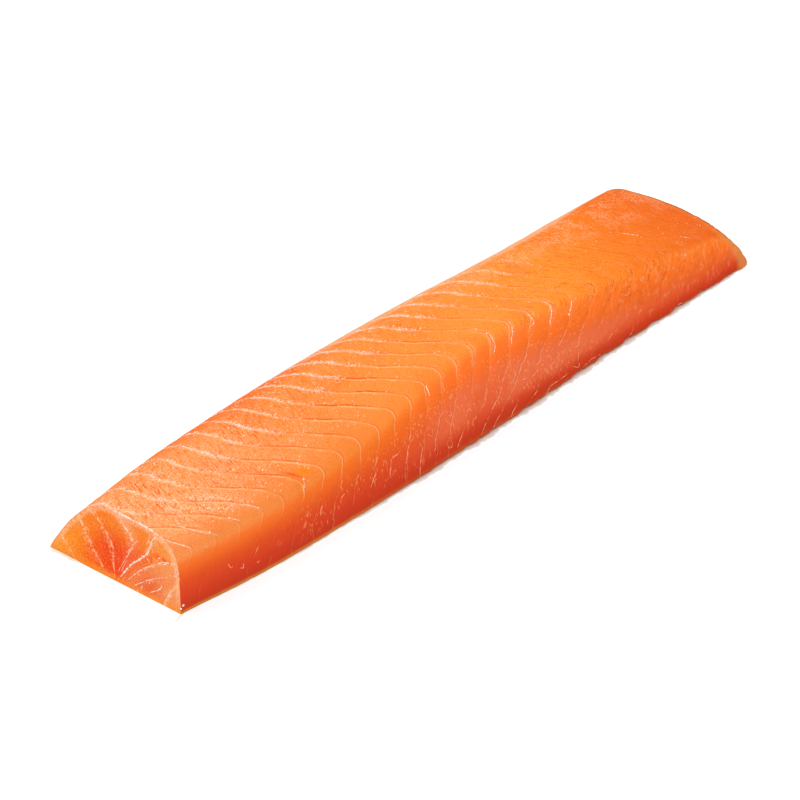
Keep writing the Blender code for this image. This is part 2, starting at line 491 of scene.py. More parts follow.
@dataclass(frozen=True)
class FilletForm:
    """The fillet's own sizes, as its solid has them, and the rules that place points on it."""

    length: float = 0.320
    tail_skew: float = math.radians(8.6)
    segment: Change = Change(0.01005, 0.01235, -0.003, 0.012)
    first_seam: float = -0.1635
    last_seam: float = 0.2100
    turn_radius: float = 0.0034
    top_swing: float = 0.0283
    top_reach: float = 0.019
    drift: Change = Change(-0.17, 0.26, -0.045, 0.040)
    drift_from: float = 0.031
    drift_softness: float = 0.004
    wall_swing: Change = Change(0.010, 0.150, 0.038, 0.044)
    wall_lean: Change = Change(1.1, 2.4, 0.038, 0.044)
    crest_rounding: float = 0.03
    outline_samples: int = 481
    stations: int = 321
    shares: int = 1201
    sections: tuple[Section, ...] = (
        Section(-0.160, -0.0013, 0.0602, 0.0270, 0.0315, 5.3, 5.5, 1.56, 1.02, 0.0207),
        Section(-0.128, -0.0045, 0.0684, 0.0287, 0.0360, 4.1, 4.5, 1.75, 1.07, 0.0210),
        Section(-0.080, -0.0056, 0.0752, 0.0298, 0.0382, 3.2, 3.8, 1.87, 1.09, 0.0240),
        Section(0.000, -0.0043, 0.0774, 0.0296, 0.0405, 2.5, 3.25, 1.94, 1.09, 0.0340),
        Section(0.080, -0.0009, 0.0747, 0.0268, 0.0420, 1.9, 2.9, 1.92, 1.02, 0.0263),
        Section(0.160, 0.0006, 0.0728, 0.0183, 0.0536, 2.25, 1.65, 2.60, 1.20, 0.0170),
    )

    def section_at(self, x: float) -> Section:
        """The section at x, on a smooth curve through the named sections.

        Args:
            x: Where along the fillet.

        Returns:
            The section there.
        """
        names = [item.name for item in fields(Section)[1:]]
        places = np.array([section.station for section in self.sections])
        table = np.array([[getattr(section, name) for name in names] for section in self.sections])
        slopes = np.gradient(table, places, axis=0)
        x = min(max(x, places[0]), places[-1])
        i = min(int(np.searchsorted(places, x, side="right")) - 1, len(places) - 2)
        span = places[i + 1] - places[i]
        t = (x - places[i]) / span
        sizes = (1 + 2 * t) * (1 - t) ** 2 * table[i] + t * (1 - t) ** 2 * span * slopes[i]
        sizes = sizes + t * t * (3 - 2 * t) * table[i + 1] + t * t * (t - 1) * span * slopes[i + 1]
        return Section(x, *(float(size) for size in sizes))

    def outline_of(self, section: Section) -> tuple[np.ndarray, np.ndarray, np.ndarray]:
        """Points from the foot of the wall, over the crest, to the thin edge.

        Args:
            section: The section to draw.

        Returns:
            Their Y, Z and girth from the foot.
        """
        turn = np.linspace(0.0, np.pi, self.outline_samples)
        across = np.abs(np.cos(turn))
        up = np.sin(turn)
        up[-1] = 0.0
        rounding = self.crest_rounding
        eased = np.hypot(across, rounding) - rounding
        eased /= math.hypot(1, rounding) - rounding
        wall_y = section.crest * (1 - across ** (2 / section.wall_across))
        flank = section.width - section.crest
        flank_y = section.crest + flank * across ** (2 / section.flank_across)
        on_wall = turn <= np.pi / 2
        y = section.foot + np.where(on_wall, wall_y, flank_y)
        wall_z = up ** (2 / section.wall_up)
        z = section.height * np.where(on_wall, wall_z, (1 - eased ** 2) ** (1 / section.flank_up))
        girth = np.concatenate(([0.0], np.cumsum(np.hypot(np.diff(y), np.diff(z)))))
        return y, z, girth

    def seam_places(self) -> np.ndarray:
        """X of each seam on the rim, spaced as the segments are.

        Returns:
            The places in order.
        """
        places = [self.first_seam]
        while places[-1] < self.last_seam:
            places.append(places[-1] + float(self.segment.at(places[-1])))
        return np.array(places)

    def top_sweep(self, run: np.ndarray, x: np.ndarray) -> np.ndarray:
        """How far back along X a seam has come over the top.

        Args:
            run: The run past the rim.
            x: The seam's X on the rim.

        Returns:
            The distance back.
        """
        rounded = np.hypot(run, self.turn_radius) - self.turn_radius
        soft = self.drift_softness
        past = soft * np.logaddexp(0.0, (run - self.drift_from) / soft)
        return self.top_swing * np.tanh(rounded / self.top_reach) + self.drift.at(x) * past

    def wall_sweep(self, run: np.ndarray, x: np.ndarray) -> np.ndarray:
        """How far back along X a seam has come down the wall.

        Args:
            run: The run below the rim.
            x: The seam's X on the rim.

        Returns:
            The distance back.
        """
        rounded = np.hypot(run, self.turn_radius) - self.turn_radius
        most = self.wall_swing.at(x)
        return most * np.tanh(self.wall_lean.at(x) * rounded / most)


class FilletSurface:
    """The fillet's outside as tables of its outlines, read between their entries."""

    slope_step: float = 0.008
    least_slope: float = 1e-9

    def __init__(self, form: FilletForm) -> None:
        """Draws the outlines once, from the fillet's sizes."""
        self.form = form
        places = [section.station for section in form.sections]
        self.low, self.high = places[0], places[-1]
        self.y = np.zeros((form.stations, form.shares))
        self.z = np.zeros((form.stations, form.shares))
        self.whole = np.zeros(form.stations)
        self.rim = np.zeros(form.stations)
        even = np.linspace(0.0, 1.0, form.shares)
        for row, x in enumerate(np.linspace(self.low, self.high, form.stations)):
            section = form.section_at(float(x))
            y, z, girth = form.outline_of(section)
            self.y[row] = np.interp(even, girth / girth[-1], y)
            self.z[row] = np.interp(even, girth / girth[-1], z)
            self.whole[row] = girth[-1]
            self.rim[row] = section.rim

    def along(self, table: np.ndarray, x: np.ndarray) -> np.ndarray:
        """Reads a table of one number per station."""
        return np.interp(x, np.linspace(self.low, self.high, len(table)), table)

    def read(self, table: np.ndarray, x: np.ndarray, share: np.ndarray) -> np.ndarray:
        """Reads a table of outlines.

        Args:
            table: Y or Z by station and share of the girth.
            x: Where along the fillet.
            share: Where along the girth, from 0 to 1.

        Returns:
            The numbers there.
        """
        row = np.clip((x - self.low) / (self.high - self.low), 0, 1) * (table.shape[0] - 1)
        column = np.clip(share, 0, 1) * (table.shape[1] - 1)
        i = np.minimum(row.astype(int), table.shape[0] - 2)
        j = np.minimum(column.astype(int), table.shape[1] - 2)
        a, b = row - i, column - j
        first = table[i, j] * (1 - b) + table[i, j + 1] * b
        second = table[i + 1, j] * (1 - b) + table[i + 1, j + 1] * b
        return first * (1 - a) + second * a

    def place(self, rim_x: np.ndarray, run: np.ndarray) -> tuple[np.ndarray, np.ndarray]:
        """Points on the outside by their seam and their run from the rim.

        Args:
            rim_x: X where the point's own seam crosses the rim.
            run: The run from the rim, below 0 down the wall.

        Returns:
            The points, and the unit directions straight out of the flesh.
        """
        rim_x, run = np.broadcast_arrays(np.asarray(rim_x, float), np.asarray(run, float))
        whole = self.along(self.whole, rim_x)
        share = (self.along(self.rim, rim_x) + run) / whole
        down = self.form.wall_sweep(np.maximum(-run, 0.0), rim_x)
        back = self.form.top_sweep(np.maximum(run, 0.0), rim_x)
        x = rim_x - np.where(run < 0, down, back)
        points = np.stack([x, self.read(self.y, x, share), self.read(self.z, x, share)], axis=-1)
        ahead, behind = share + self.slope_step, share - self.slope_step
        dy, dz = (self.read(table, x, ahead) - self.read(table, x, behind)
                  for table in (self.y, self.z))
        size = np.maximum(np.hypot(dy, dz), self.least_slope)
        return points, np.stack([np.zeros_like(dy), -dz / size, dy / size], axis=-1)


@dataclass(frozen=True)
class SeamFan:
    """How the seams run over a cut, from the underside up to its edge.

    Each seam is a line of points: shares of the cut's width from the wall's foot, and of its
    height.
    """

    beyond_foot: float = 0.25
    beyond_edge: float = 0.2
    least_gap: float = 0.004
    seams: tuple[Knots, ...] = (
        ((0.13, 0.00), (0.065, 0.26), (0.00, 0.46), (-0.14, 0.80), (-0.20, 1.0)),
        ((0.335, 0.00), (0.245, 0.24), (0.13, 0.385), (-0.02, 0.56), (-0.20, 0.75), (-0.3, 1.0)),
        ((0.40, 0.00), (0.29, 0.34), (0.165, 0.55), (0.04, 0.655), (-0.08, 0.8), (-0.2, 1.0)),
        ((0.455, 0.00), (0.365, 0.34), (0.235, 0.62), (0.205, 0.78), (0.16, 0.94), (0.14, 1.0)),
        ((0.475, 0.00), (0.385, 0.45), (0.34, 0.65), (0.35, 0.74), (0.43, 0.93), (0.45, 1.0)),
        ((0.495, 0.00), (0.495, 0.45), (0.525, 0.59), (0.60, 0.77), (0.66, 0.87), (0.74, 1.0)),
        ((0.54, 0.00), (0.66, 0.34), (0.71, 0.55), (0.75, 0.66), (0.80, 0.78), (0.88, 1.0)),
        ((0.80, 0.00), (0.85, 0.14), (0.88, 0.24), (0.95, 0.40), (1.05, 0.70), (1.1, 1.0)),
    )

    def number_at(self, across: np.ndarray, up: np.ndarray) -> np.ndarray:
        """Which seam a point is next to, counted from the wall, and how far past it.

        Args:
            across: Share of the cut's width.
            up: Share of its height.

        Returns:
            The seam's number, whole on a seam.
        """
        up = np.clip(up, 0.0, 1.0)
        lines = [np.interp(up, [p[1] for p in seam], [p[0] for p in seam]) for seam in self.seams]
        lines = [lines[0] - self.beyond_foot, *lines, lines[-1] + self.beyond_edge]
        number = np.zeros_like(up)
        for low, high in zip(lines, lines[1:]):
            gap = np.maximum(high - low, self.least_gap)
            number += np.clip((across - low) / gap, 0.0, 1.0)
        return number


@dataclass(frozen=True)
class Blemish:
    """A mark on the outside: a spot, or a ring where it has a ring size."""

    name: str
    rim_x: float
    run: float
    along: float
    across: float
    ring: float = 0.0

    def strength(self, rim_x: np.ndarray, run: np.ndarray) -> np.ndarray:
        """How strong the mark is at points of the outside, by their seam and their run."""
        far = np.hypot((rim_x - self.rim_x) / self.along, (run - self.run) / self.across)
        return np.exp(-(far - self.ring) ** 2)


@dataclass(frozen=True)
class Relief:
    """The relief that a geometry tree presses into the flesh: seams, and what swells between.

    The numbers are inputs of the tree, and the rows of steps say where each part of it is.
    """

    groove_depth: float = 0.00012
    groove_width: float = 0.030
    lip_height: float = 0.00008
    crown_height: float = 0.00016
    swell_height: float = 0.00050
    swell_size: float = 95.0
    wrinkle_height: float = 0.00030
    wrinkle_size: float = 400.0
    cut_groove_depth: float = 0.00012
    cut_groove_width: float = 0.055
    slit_depth: float = 0.0006
    rough_size: float = 160.0
    seed: float = 3.0
    sunk: Steps = (("rough", 0.3, 0.7, 0.45, 1.35), ("x", 0.050, 0.090, -1.0, -0.3))
    lip: Steps = (("near", 0.72, 0.96), ("run", 1.0, 8.0))
    wrinkled: Steps = (("x", 0.020, 0.070), ("foot", 0.85, 0.60), ("edge", 0.30, 0.10, 0.35, 1.0))
    fading: Steps = (("foot", 1.0, 0.90), ("edge", 1.0, 0.97))
    cut_sunk: Steps = (("lip", 1.0, 0.9), ("lip", 0.1, 0.3))
    off_floor: Steps = (("cut",), ("z", 0.0, 0.004))

    def height(self, w: PieceTree) -> NodeSocket:
        """How far the flesh stands out at each point.

        Args:
            w: The tree.

        Returns:
            The socket with the height.
        """
        given = w.given
        reads = w.stored("seam", "run", "foot", "edge", "below", "slit", "cut", "fan", "lip")
        reads["x"], _, reads["z"] = w.parted(w.place)
        reads["skin"] = w.product(w.inverse(reads["cut"]), w.inverse(reads["below"]))
        reads["near"] = w.math("FRACT", reads["seam"])
        reads["rough"] = w.chance(given["Rough Size"])

        def groove(name: str, width: str) -> NodeSocket:
            """A bell over each whole number."""
            share = w.math("DIVIDE", w.apart(reads[name]), given[width])
            return w.math("EXPONENT", w.product(share, share, -1.0))

        def uneven(name: str, detail: float) -> NodeSocket:
            """A noise around 0, as high and as large as the tree's inputs say."""
            noise = w.chance(given[f"{name} Size"], detail)
            return w.product(w.math("SUBTRACT", noise, 0.5), given[f"{name} Height"])

        sunk = w.product(groove("seam", "Groove Width"), given["Groove Depth"],
                         *w.each(reads, self.sunk))
        lip = w.product(w.mask(reads, self.lip), given["Lip Height"])
        crown = w.math("SINE", w.product(w.apart(reads["seam"]), math.pi))
        swell = uneven("Swell", 3.0)
        wrinkle = w.product(uneven("Wrinkle", 2.0), *w.each(reads, self.wrinkled))
        torn = w.product(reads["slit"], given["Slit Depth"], -1.0)
        outside = w.total(sunk, lip, w.product(crown, given["Crown Height"]), swell, wrinkle, torn)
        across = w.product(groove("fan", "Cut Groove Width"), given["Cut Groove Depth"],
                           *w.each(reads, self.cut_sunk), -1.0)
        inside = w.total(across, w.product(swell, 0.5))
        return w.total(w.product(outside, reads["skin"], w.mask(reads, self.fading)),
                       w.product(inside, *w.each(reads, self.off_floor)))

    def press(self, raw: Object, material: Material) -> Object:
        """Presses the relief into the raw flesh.

        Args:
            raw: The raw flesh, which is removed.
            material: The finish to set.

        Returns:
            The finished flesh.
        """
        w = PieceTree("flesh", titled(self))
        offset = w.scaled(w.normal, self.height(w))
        moved = w.add("GeometryNodeSetPosition", {"Geometry": w.given["Base"], "Offset": offset})
        w.dress(moved.outputs[0], material)
        return w.grow(raw)


@dataclass
class FleshBody:
    """The flesh: one closed skin with a row of vertices in every seam, and both cuts."""

    surface: FilletSurface
    fan: SeamFan = field(default_factory=SeamFan)
    relief: Relief = field(default_factory=Relief)
    row_shares: tuple[float, ...] = (
        0.0, 0.02, 0.045, 0.08, 0.13, 0.21, 0.31, 0.41, 0.51, 0.61, 0.71, 0.80, 0.87, 0.92, 0.955,
        0.98)
    wall_columns: int = 35
    wall_lowest: float = -0.92
    top_columns: int = 96
    floor_columns: int = 12
    swell_most: float = 0.0004
    swell_from: float = -0.072
    swell_blend: float = 0.030
    wander: float = 0.00028
    wander_lengths: tuple[float, ...] = (0.0110, 0.0047, 0.0024)
    foot_columns: tuple[float, ...] = (-1.0, -0.992, -0.983, -0.973, -0.962, -0.950, -0.937)
    foot_round: tuple[float, float] = (0.0005, 0.0021)
    foot_out: float = 0.22
    foot_hold: int = 6
    tip_from: float = 0.149
    tip_blend: float = 0.008
    fray: float = 0.00045
    fray_lengths: tuple[float, ...] = (0.0170, 0.0083, 0.0031)
    fray_from: float = 0.010
    fray_hold: int = 8
    seed: int = 7
    blemishes: tuple[Blemish, ...] = (
        Blemish("slit", -0.1012, 0.0044, 0.0005, 0.0024),
        Blemish("blot", -0.0982, 0.0036, 0.0021, 0.0018),
        Blemish("scuff", -0.1250, 0.0135, 0.0018, 0.0026, ring=2.4),
    )
    hub: tuple[float, float] = (0.027, 0.0010)
    merge: float = 0.00012
    on_plane: float = 2e-6
    cut_loops: tuple[float, ...] = (
        0.988, 0.96, 0.92, 0.87, 0.81, 0.74, 0.67, 0.60, 0.53, 0.46, 0.39, 0.32, 0.25, 0.18, 0.12,
        0.06)
    shift: Vector = field(default_factory=Vector, init=False)

    def wanders(self, seams: int) -> np.ndarray:
        """How each seam strays from its rule, as one phase for each seam and wave."""
        draw = np.random.default_rng(self.seed)
        return draw.uniform(0, 2 * np.pi, (seams, len(self.wander_lengths)))

    def stray(self, phases: np.ndarray, run: np.ndarray) -> np.ndarray:
        """How far a seam strays along X at its runs from the rim."""
        return self.wander * waves(run, self.wander_lengths, phases)

    def shape_foot(self, points: np.ndarray, foot: np.ndarray, phases: np.ndarray) -> None:
        """Turns the foot of the wall under, and frays it towards the tail.

        Args:
            points: The points of one row, moved in place.
            foot: How far down the wall each one is, from 0 to 1.
            phases: The phases of the fraying's waves.
        """
        x = points[:, 0]
        least, most = self.foot_round
        before_tip = 1 - blend(x, self.tip_from, self.tip_blend)
        radius = least + (most - least) * blend(x, self.swell_from, self.swell_blend) * before_tip
        low = np.clip(1 - points[:, 2] / radius, 0, 1) * (foot > 0)
        frayed = self.fray * blend(x, self.fray_from, self.swell_blend)
        points[:, 1] += frayed * waves(x, self.fray_lengths, phases) * foot ** self.fray_hold
        turned = 1 - np.sqrt(1 - low ** 2) - self.foot_out * foot ** self.foot_hold
        points[:, 1] += radius * turned

    def skin_grid(self) -> tuple[np.ndarray, dict[str, np.ndarray]]:
        """Points of the outside and underside, row by row.

        Returns:
            The points by row and column, and the numbers stored on them.
        """
        surface = self.surface
        places = surface.form.seam_places()
        draw = random.Random(self.seed)
        phases = self.wanders(len(places))
        wall = np.concatenate([self.foot_columns,
                               np.linspace(self.wall_lowest, 0.0, self.wall_columns)])
        top = np.linspace(0.0, 1.0, self.top_columns + 1)[1:]
        rows, seams, runs, starts = [], [], [], []
        for number, (start, end) in enumerate(zip(places, places[1:])):
            most = draw.uniform(0.0, self.swell_most)
            for share in self.row_shares:
                rim_x = start + (end - start) * share
                rim, whole = (float(surface.along(table, rim_x))
                              for table in (surface.rim, surface.whole))
                run = np.concatenate([wall * rim, top * (whole - rim)])
                points, _ = surface.place(np.full_like(run, rim_x), run)
                points[:, 0] += (self.stray(phases[number], run) * (1 - share)
                                 + self.stray(phases[number + 1], run) * share)
                foot = np.clip(-run / rim, 0, 1)
                swell = most * math.sin(math.pi * share)
                points[:, 1] -= swell * blend(rim_x, self.swell_from, self.swell_blend) * foot
                self.shape_foot(points, foot, phases[0])
                points[[0, -1], 2] = 0.0
                points[:, 2] = np.maximum(points[:, 2], 0.0)
                rows.append(points)
                seams.append(np.full_like(run, number + share))
                runs.append(run)
                starts.append(np.full_like(run, rim_x))
        points, seam, run = np.array(rows), np.array(seams), np.array(runs)
        under = (np.arange(1, self.floor_columns) / self.floor_columns)[None, :]
        floor = (points[:, -1:, :] * (1 - under[..., None]) + points[:, :1, :] * under[..., None])
        rim, whole = -run[:, :1], run[:, -1:]
        flat = np.ones((len(rows), self.floor_columns - 1))
        stored = {
            "seam": np.hstack([seam, seam[:, :1] * flat]),
            "run": np.hstack([run, whole * (1 - under) - rim * under]) / MM,
            "foot": np.hstack([np.clip(-run / rim, 0, 1), under * flat]),
            "edge": np.hstack([np.clip(run / whole, 0, 1), (1 - under) * flat]),
            "below": np.hstack([np.zeros_like(run), flat]),
        }
        for mark in self.blemishes:
            stored[mark.name] = np.hstack([mark.strength(np.array(starts), run), 0 * flat])
        return np.concatenate([points, floor], axis=1), stored

    def skin_mesh(self) -> bmesh.types.BMesh:
        """The open tube of the outside and underside.

        Returns:
            The tube, with its stored numbers as layers.
        """
        points, stored = self.skin_grid()
        mesh = bpy.data.meshes.new("skin")
        faces = tube_faces(*points.shape[:2])
        mesh.from_pydata(points.reshape(-1, 3).tolist(), [], faces.tolist())
        for name, values in stored.items():
            store(mesh, name, values)
        for name in ("cut", "fan", "lip"):
            mesh.attributes.new(name, "FLOAT", "POINT")
        bm = bmesh.new()
        bm.from_mesh(mesh)
        bpy.data.meshes.remove(mesh)
        return bm

    def cut_end(self, bm: bmesh.types.BMesh, point: Vector,
                outward: Vector) -> list[bmesh.types.BMVert]:
        """Cuts the open tube along a plane.

        Args:
            bm: The tube.
            point: A point of the plane.
            outward: The way that is cut off.

        Returns:
            The vertices of the opening, in order.
        """
        def on_cut() -> list[bmesh.types.BMVert]:
            """The vertices on the plane."""
            return [v for v in bm.verts if abs((v.co - point).dot(outward)) < self.on_plane]

        geometry = bm.verts[:] + bm.edges[:] + bm.faces[:]
        bmesh.ops.bisect_plane(bm, geom=geometry, plane_co=point, plane_no=outward,
                               clear_outer=True)
        bmesh.ops.remove_doubles(bm, verts=on_cut(), dist=self.merge)
        near = set(on_cut())
        beside: dict[bmesh.types.BMVert, list[bmesh.types.BMVert]] = {}
        for edge in bm.edges:
            if edge.is_boundary and all(v in near for v in edge.verts):
                for vert in edge.verts:
                    beside.setdefault(vert, []).append(edge.other_vert(vert))
        start = next(iter(beside))
        loop = [start, beside[start][0]]
        while loop[-1] is not start:
            loop.append(next(v for v in beside[loop[-1]] if v is not loop[-2]))
        return loop[:-1]

    def skew_of(self, end: End) -> float:
        """How far a cut's plane is turned about Z."""
        return self.surface.form.tail_skew if end is End.TAIL else 0.0

    def close_cut(self, bm: bmesh.types.BMesh, end: End) -> None:
        """Cuts one end along a plane and closes it with loops that shrink to the hub.

        Args:
            bm: The open tube.
            end: Which end.
        """
        side, skew = end.value, self.skew_of(end)
        x = side * self.surface.form.length / 2
        outward = Vector((side * math.cos(skew), side * math.sin(skew), 0.0))
        rim = self.cut_end(bm, Vector((x, 0.0, 0.0)), outward)
        hub = Vector((x - math.tan(skew) * self.hub[0], *self.hub))
        layers = bm.verts.layers.float
        ys = np.array([v.co.y for v in rim])
        zs = np.array([v.co.z for v in rim])
        foot, width, height = ys.min(), np.ptp(ys), zs.max()

        def mark(vert: bmesh.types.BMVert, cut: float, lip: float) -> None:
            """Stores a cut vertex's numbers."""
            across = np.array([(vert.co.y - foot) / width])
            number = self.fan.number_at(across, np.array([vert.co.z / height]))
            for name, value in (("fan", float(number[0])), ("cut", cut), ("lip", lip)):
                vert[layers[name]] = value

        for vert in rim:
            mark(vert, 0.0, 1.0)
        previous = rim
        for scale in self.cut_loops:
            loop = []
            for vert in rim:
                copy = bm.verts.new(hub.lerp(vert.co, scale))
                for name in ("seam", "run", "foot", "edge"):
                    copy[layers[name]] = vert[layers[name]]
                mark(copy, 1.0, scale)
                loop.append(copy)
            for i, vert in enumerate(previous):
                j = (i + 1) % len(previous)
                bm.faces.new((vert, previous[j], loop[j], loop[i]))
            previous = loop
        centre = bm.verts.new(hub)
        mark(centre, 1.0, 0.0)
        for i, vert in enumerate(previous):
            bm.faces.new((vert, previous[(i + 1) % len(previous)], centre))

    def build(self, material: Material) -> Object:
        """The finished flesh.

        Args:
            material: Its finish.

        Returns:
            The piece, standing where its node stands.
        """
        bm = self.skin_mesh()
        for end in End:
            self.close_cut(bm, end)
        bmesh.ops.triangulate(bm, faces=bm.faces)
        bmesh.ops.recalc_face_normals(bm, faces=bm.faces)
        low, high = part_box(NODE)
        points = np.array([v.co for v in bm.verts])
        middle = (points.min(axis=0) + points.max(axis=0)) / 2
        self.shift = Vector(((low + high) / 2)[:2] + (0.0,)) - Vector((middle[0], middle[1], 0.0))
        bmesh.ops.translate(bm, verts=bm.verts, vec=self.shift)
        mesh = bpy.data.meshes.new("flesh")
        bm.to_mesh(mesh)
        bm.free()
        piece = self.relief.press(linked("flesh_raw", mesh), material)
        piece.data.shade_smooth()
        return piece

    def points_at(self, rim_x: np.ndarray, run: np.ndarray) -> np.ndarray:
        """Points on the outside of the finished flesh, by their seam and their run."""
        return self.surface.place(rim_x, run)[0] + np.array(self.shift)

    def cut_points(self, end: End, shares: np.ndarray) -> np.ndarray:
        """Points on one cut, where the finished flesh stands.

        Args:
            end: Which cut.
            shares: Shares of its width from the wall's foot, and of its height.

        Returns:
            The points.
        """
        form = self.surface.form
        section = form.section_at(end.value * form.length / 2)
        y = section.foot + shares[:, 0] * section.width
        x = end.value * form.length / 2 - math.tan(self.skew_of(end)) * y
        return np.stack([x, y, shares[:, 1] * section.height], axis=1) + np.array(self.shift)

    def rim_points(self, end: End, run: np.ndarray) -> np.ndarray:
        """Points on the rim of one cut, where the finished flesh stands.

        Args:
            end: Which cut.
            run: The run from the fillet's own rim, below 0 down the wall.

        Returns:
            The points.
        """
        surface = self.surface
        x = np.full_like(run, end.value * surface.form.length / 2)
        share = (surface.along(surface.rim, x) + run) / surface.along(surface.whole, x)
        y, z = (surface.read(table, x, share) for table in (surface.y, surface.z))
        return np.stack([x - math.tan(self.skew_of(end)) * y, y, z], axis=1) + np.array(self.shift)


@dataclass(frozen=True)
class ThreadLook:
    """Sizes of one kind of connective-tissue thread."""

    radius: float
    lift: float
    beading: float
    bead_length: float
    step: float = 0.0003
    sides: int = 6
    seed: float = 2.0


class ThreadKind(Enum):
    """The threads seen on the flesh."""

    RIDGE = ThreadLook(radius=0.00012, lift=0.0, beading=0.95, bead_length=0.0006)
    WISP = ThreadLook(radius=0.00014, lift=-0.00001, beading=0.8, bead_length=0.0013)
    HAIR = ThreadLook(radius=0.00012, lift=-0.00001, beading=0.95, bead_length=0.0014)
    SEPTUM = ThreadLook(radius=0.00014, lift=-0.00001, beading=0.8, bead_length=0.0009, step=0.00022)
    FAINT = ThreadLook(radius=0.00009, lift=-0.00003, beading=2.4, bead_length=0.0010, step=0.00022)
    RIM = ThreadLook(radius=0.00017, lift=-0.00004, beading=0.90, bead_length=0.0004, step=0.00022)


@dataclass
class Threads:
    """Threads of one kind, laid on the flesh along given lines."""

    kind: ThreadKind
    lines: list[Line]
    swing: tuple[float, float, float, float] = (0.34, 0.66, -1.0, 1.0)
    thinnest: float = 0.05

    def tree(self, flesh: Object, material: Material) -> PieceTree:
        """The tree that lays the lines on the flesh and gives them their thickness.

        Args:
            flesh: The piece that they lie on.
            material: The finish to set.

        Returns:
            The tree.
        """
        w = PieceTree(f"threads_{self.kind.name.lower()}", titled(self.kind.value))
        given = w.given
        curve = w.add("GeometryNodeMeshToCurve", {0: given["Base"]}).outputs[0]
        curve = w.add("GeometryNodeResampleCurve", {"Curve": curve, "Length": given["Step"]},
                      mode="LENGTH").outputs[0]
        on, out = w.nearest(flesh)
        place = w.add("ShaderNodeVectorMath", {0: on, 1: w.scaled(out, given["Lift"])},
                      operation="ADD").outputs[0]
        laid = w.add("GeometryNodeSetPosition", {"Geometry": curve, "Position": place}).outputs[0]
        noise = w.chance(w.math("DIVIDE", 1.0, given["Bead Length"]), 1.0)
        swing = w.product(w.ramp(noise, *self.swing), given["Beading"])
        swing = w.math("MAXIMUM", w.total(swing, 1.0), self.thinnest)
        scale = w.product(swing, w.stored("thick")["thick"], given["Radius"])
        ring = w.add("GeometryNodeCurvePrimitiveCircle", {
            "Resolution": given["Sides"], "Radius": 1.0}).outputs[0]
        tube = w.add("GeometryNodeCurveToMesh", {
            "Curve": laid, "Profile Curve": ring, "Scale": scale, "Fill Caps": True}).outputs[0]
        smooth = w.add("GeometryNodeSetShadeSmooth", {"Geometry": tube}).outputs[0]
        w.dress(smooth, material)
        return w

    def build(self, flesh: Object, material: Material) -> Object:
        """The finished threads.

        Args:
            flesh: The piece that they lie on.
            material: Their finish.

        Returns:
            The piece.
        """
        points, thick = (np.concatenate(parts) for parts in zip(*self.lines))
        edges, start = [], 0
        for line, _ in self.lines:
            edges += [(i, i + 1) for i in range(start, start + len(line) - 1)]
            start += len(line)
        mesh = bpy.data.meshes.new("lines")
        mesh.from_pydata(points.tolist(), edges, [])
        store(mesh, "thick", thick)
        return self.tree(flesh, material).grow(linked("lines", mesh))


def smoothed(knots: Knots, spacing: float) -> np.ndarray:
    """A rounded line through a few knots, at even steps.

    Args:
        knots: The knots.
        spacing: The step, in the knots' own measure.

    Returns:
        The points of the line.
    """
    row = np.array(knots)
    padded = np.vstack([2 * row[0] - row[1], row, 2 * row[-1] - row[-2]])
    parts = []
    for a, b, c, d in zip(padded, padded[1:], padded[2:], padded[3:]):
        count = max(2, int(np.linalg.norm(c - b) / spacing) + 1)
        t = np.linspace(0, 1, count, endpoint=False)[:, None]
        parts.append(0.5 * (2 * b + (c - a) * t + (2 * a - 5 * b + 4 * c - d) * t ** 2
                            + (3 * b - a - 3 * c + d) * t ** 3))
    return np.vstack([*parts, row[-1:]])


def tapered(count: int, tip: float = 0.35) -> np.ndarray:
    """Thickness at each point of a line that thins towards a tip at both ends."""
    return tip + (1 - tip) * np.sin(np.pi * np.linspace(0.0, 1.0, count)) ** 0.6


